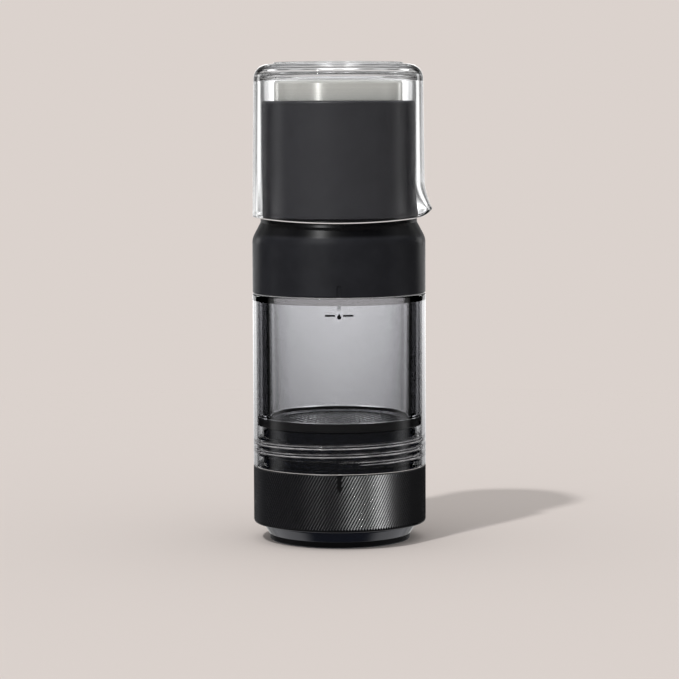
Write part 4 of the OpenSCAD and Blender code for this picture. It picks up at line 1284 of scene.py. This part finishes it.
@dataclass(frozen=True)
class Lamp:
    """A light of parallel rays: its strength, then degrees to the left of the camera, up, and of apparent size.

    It reaches the named pieces, or all of them if none is named.
    """

    name: str
    power: float
    left: float
    up: float
    size: float
    reach: tuple[str, ...] = ()

    def light(self) -> None:
        """Adds the light to the scene."""
        lamp = bpy.data.lights.new(self.name, "SUN")
        lamp.energy = self.power
        lamp.angle = math.radians(self.size)
        left, up = math.radians(self.left), math.radians(self.up)
        towards = Vector((-math.cos(up) * math.sin(left), -math.cos(up) * math.cos(left), math.sin(up)))
        sun = bpy.data.objects.new(self.name, lamp)
        sun.rotation_euler = towards.to_track_quat("Z", "Y").to_euler()
        sun.location = towards
        bpy.context.scene.collection.objects.link(sun)
        if self.reach:
            lit = bpy.data.collections.new(self.name)
            for name in self.reach:
                lit.objects.link(bpy.data.objects[name])
            sun.light_linking.receiver_collection = lit


@dataclass
class Studio:
    """Floor, world, key light and camera of the photograph."""

    backdrop: Colour = (0.708, 0.645, 0.610)
    fill: float = 0.68
    lamps: Sequence[Lamp] = (
        Lamp("key", 1.243, 36.0, 54.0, 2.6),
        Lamp("rake_front", 2.3, 8.0, 24.0, 20.0, ("grip_knurl",)),
        Lamp("rake_left", 1.1, 45.0, 24.0, 20.0, ("grip_knurl",)),
        Lamp("rake_side", 0.8, 95.0, 24.0, 20.0, ("grip_knurl",)),
        Lamp("strip", 0.25, 36.0, 5.0, 4.0, ("handle_top",)),
        Lamp("wash", 0.5, 30.0, 12.0, 50.0, ("lid_collar", "handle_grip")),
        Lamp("spark", 0.55, 27.0, 31.0, 34.0, ("lid_collar",)),
        Lamp("star", 0.3, 29.0, 30.0, 3.0, ("carafe_wall", "chamber_walls", "basket")))
    floor_r: float = 0.8
    fade: Point = (0.42, 0.74)
    peak: float = 2.6
    ceiling: float = 7.0
    tint: Colour = (1.0, 0.985, 1.05)
    low_ring: Sequence[Point] = (
        (0, 1.12), (9, 1.02), (15, 0.86), (18.5, 0.7), (21, 0.4), (24, 0.55), (26, 0.8), (31, 0.75), (33, 0.0),
        (70, 0.0), (78, 0.3), (84, 0.4), (92, 0.2), (102, 0.04), (180, 0.04))
    level_ring: Sequence[Point] = (
        (0, 0.77), (2, 0.8), (4, 2.4), (7, 1.2), (10, 0.3), (15, 0.15), (18, 0.45), (23, 0.5), (26, 0.12),
        (33, 0.15), (36, 0.9), (40, 2.0), (44, 2.0), (46, 0.0), (70, 0.0), (90, 0.2), (102, 0.04), (180, 0.04))

    def build(self) -> None:
        """Sets the stage."""
        self.floor()
        self.world()
        for lamp in self.lamps:
            lamp.light()
        self.camera()
        self.film()

    def floor(self) -> None:
        """Pale disc that fades into the backdrop before its edge."""
        ring = [(self.floor_r * math.cos(TURN * i / 96), self.floor_r * math.sin(TURN * i / 96), 0.0)
                for i in range(96)]
        floor = link("floor", ring, [list(range(96))])
        material = bpy.data.materials.new("floor_paper")
        material.use_nodes = True
        graph = Graph(material.node_tree)
        x, y, _ = graph.axes(graph.object_place())
        away = (x * x + y * y).of("SQRT").smooth(*self.fade)
        grain = graph.noise(graph.object_place(), 40.0, 1.0)
        tone = graph.blend(grain, rgba(self.backdrop, 0.998), rgba(self.backdrop, 1.002))
        matt = graph.node("ShaderNodeBsdfDiffuse", {}, {"Color": tone})
        clear = graph.node("ShaderNodeBsdfTransparent")
        mix = graph.node("ShaderNodeMixShader", {}, {0: away, 1: matt.outputs[0], 2: clear.outputs[0]})
        graph.node("ShaderNodeOutputMaterial", {}, {"Surface": mix.outputs[0]})
        floor.data.materials.append(material)
        floor.visible_glossy = False
        floor.visible_transmission = False

    def world(self) -> None:
        """Plain backdrop for the camera, even light for matt surfaces, and flags and strips for clear ones."""
        world = bpy.data.worlds.new("studio")
        world.use_nodes = True
        graph = Graph(world.node_tree)
        x, y, z = graph.axes(graph.node("ShaderNodeTexCoord").outputs["Generated"])
        around = x.of("ABSOLUTE").of("ARCTAN2", y) * (180 / math.pi)
        up = z.of("ARCSINE") * (180 / math.pi)
        rings = []
        for name in (self.low_ring, self.level_ring):
            ramp = graph.node("ShaderNodeValToRGB", {"stops": [(a / 180, v / self.peak) for a, v in name]},
                              {0: around / 180})
            rings.append(ramp.outputs[0])
        level = up.smooth(-3.6, -2.2)
        ring = graph.blend(level, rings[0], rings[1])
        gain = ((up + 5.6) * 0.24 + 1.19).of("MAXIMUM", 0.7).of("MINIMUM", 1.5)
        gain = (gain * (1.0 - level) + level * 1.2) * self.peak
        flags = graph.node("ShaderNodeVectorMath", {"operation": "SCALE"}, {0: ring, "Scale": gain})
        steep = up.of("ABSOLUTE").smooth(22.0, 34.0)
        front = around.smooth(80.0, 110.0)
        side = graph.blend(front, rgba((0.72, 0.72, 0.75)), rgba((0.05, 0.055, 0.075)))
        band = (1.0 - up.smooth(9.0, 12.0)).of("MAXIMUM", up.smooth(18.0, 26.0)) * 0.8 + 0.2
        flags = graph.node("ShaderNodeVectorMath", {"operation": "SCALE"}, {0: flags.outputs[0], "Scale": band})
        seen = graph.blend(steep, flags.outputs[0], side)
        seen = graph.blend(up.smooth(57.0, 64.0), seen, rgba((self.ceiling,) * 3))
        path = graph.node("ShaderNodeLightPath")
        paper = (0.0 - up).smooth(8.5, 14.0) * Signal(graph, path.outputs["Is Transmission Ray"])
        seen = graph.blend(paper, seen, rgba((0.66, 0.64, 0.63)))
        seen = graph.blend(path.outputs["Is Diffuse Ray"], seen, rgba((1, 1, 1), self.fill))
        seen = graph.blend(path.outputs["Is Camera Ray"], seen, rgba(self.backdrop))
        light = graph.node("ShaderNodeBackground", {}, {"Color": seen, "Strength": 1.0})
        graph.node("ShaderNodeOutputWorld", {}, {"Surface": light.outputs[0]})
        world.cycles.sampling_method = "NONE"
        bpy.context.scene.world = world

    def camera(self) -> None:
        """The camera that was fitted to the photograph."""
        lens = bpy.data.cameras.new("camera")
        lens.lens = 137.54
        lens.sensor_width = 36.0
        lens.clip_start = 0.05
        camera = bpy.data.objects.new("camera", lens)
        camera.location = (0.000484, -1.1418, 0.1875)
        camera.rotation_euler = (math.radians(90 - 4.972), math.radians(0.22), 0.0)
        bpy.context.scene.collection.objects.link(camera)
        bpy.context.scene.camera = camera

    def film(self) -> None:
        """Light paths long enough for four clear walls, and plain colours."""
        scene = bpy.context.scene
        scene.view_settings.view_transform = "Standard"
        scene.view_settings.look = "None"
        cycles = scene.cycles
        cycles.max_bounces = 32
        cycles.transmission_bounces = 28
        cycles.glossy_bounces = 10
        cycles.diffuse_bounces = 4
        cycles.transparent_max_bounces = 32
        cycles.caustics_reflective = True
        cycles.caustics_refractive = True
        cycles.sample_clamp_indirect = 6.0
        cycles.use_denoising = True


def main() -> None:
    """Builds the brewer from its foot up, then the studio round it."""
    logging.basicConfig(level=logging.INFO, format="%(message)s")
    palette = Palette()
    threads = ThreadCutter()
    pieces = [
        Foot(palette), Basket(palette, cutter=threads), Grip(palette, roller=KnurlRoller()),
        Chamber(palette, cutter=threads), FillMark(palette), ShowerFloor(palette, perforator=Perforator()),
        PumpLid(palette), Handle(palette), CarafeGlass(palette), Inside(palette), Studio()]
    for piece in pieces:
        piece.build()
        LOG.info("built %s", type(piece).__name__)


if __name__ == "__main__":
    main()
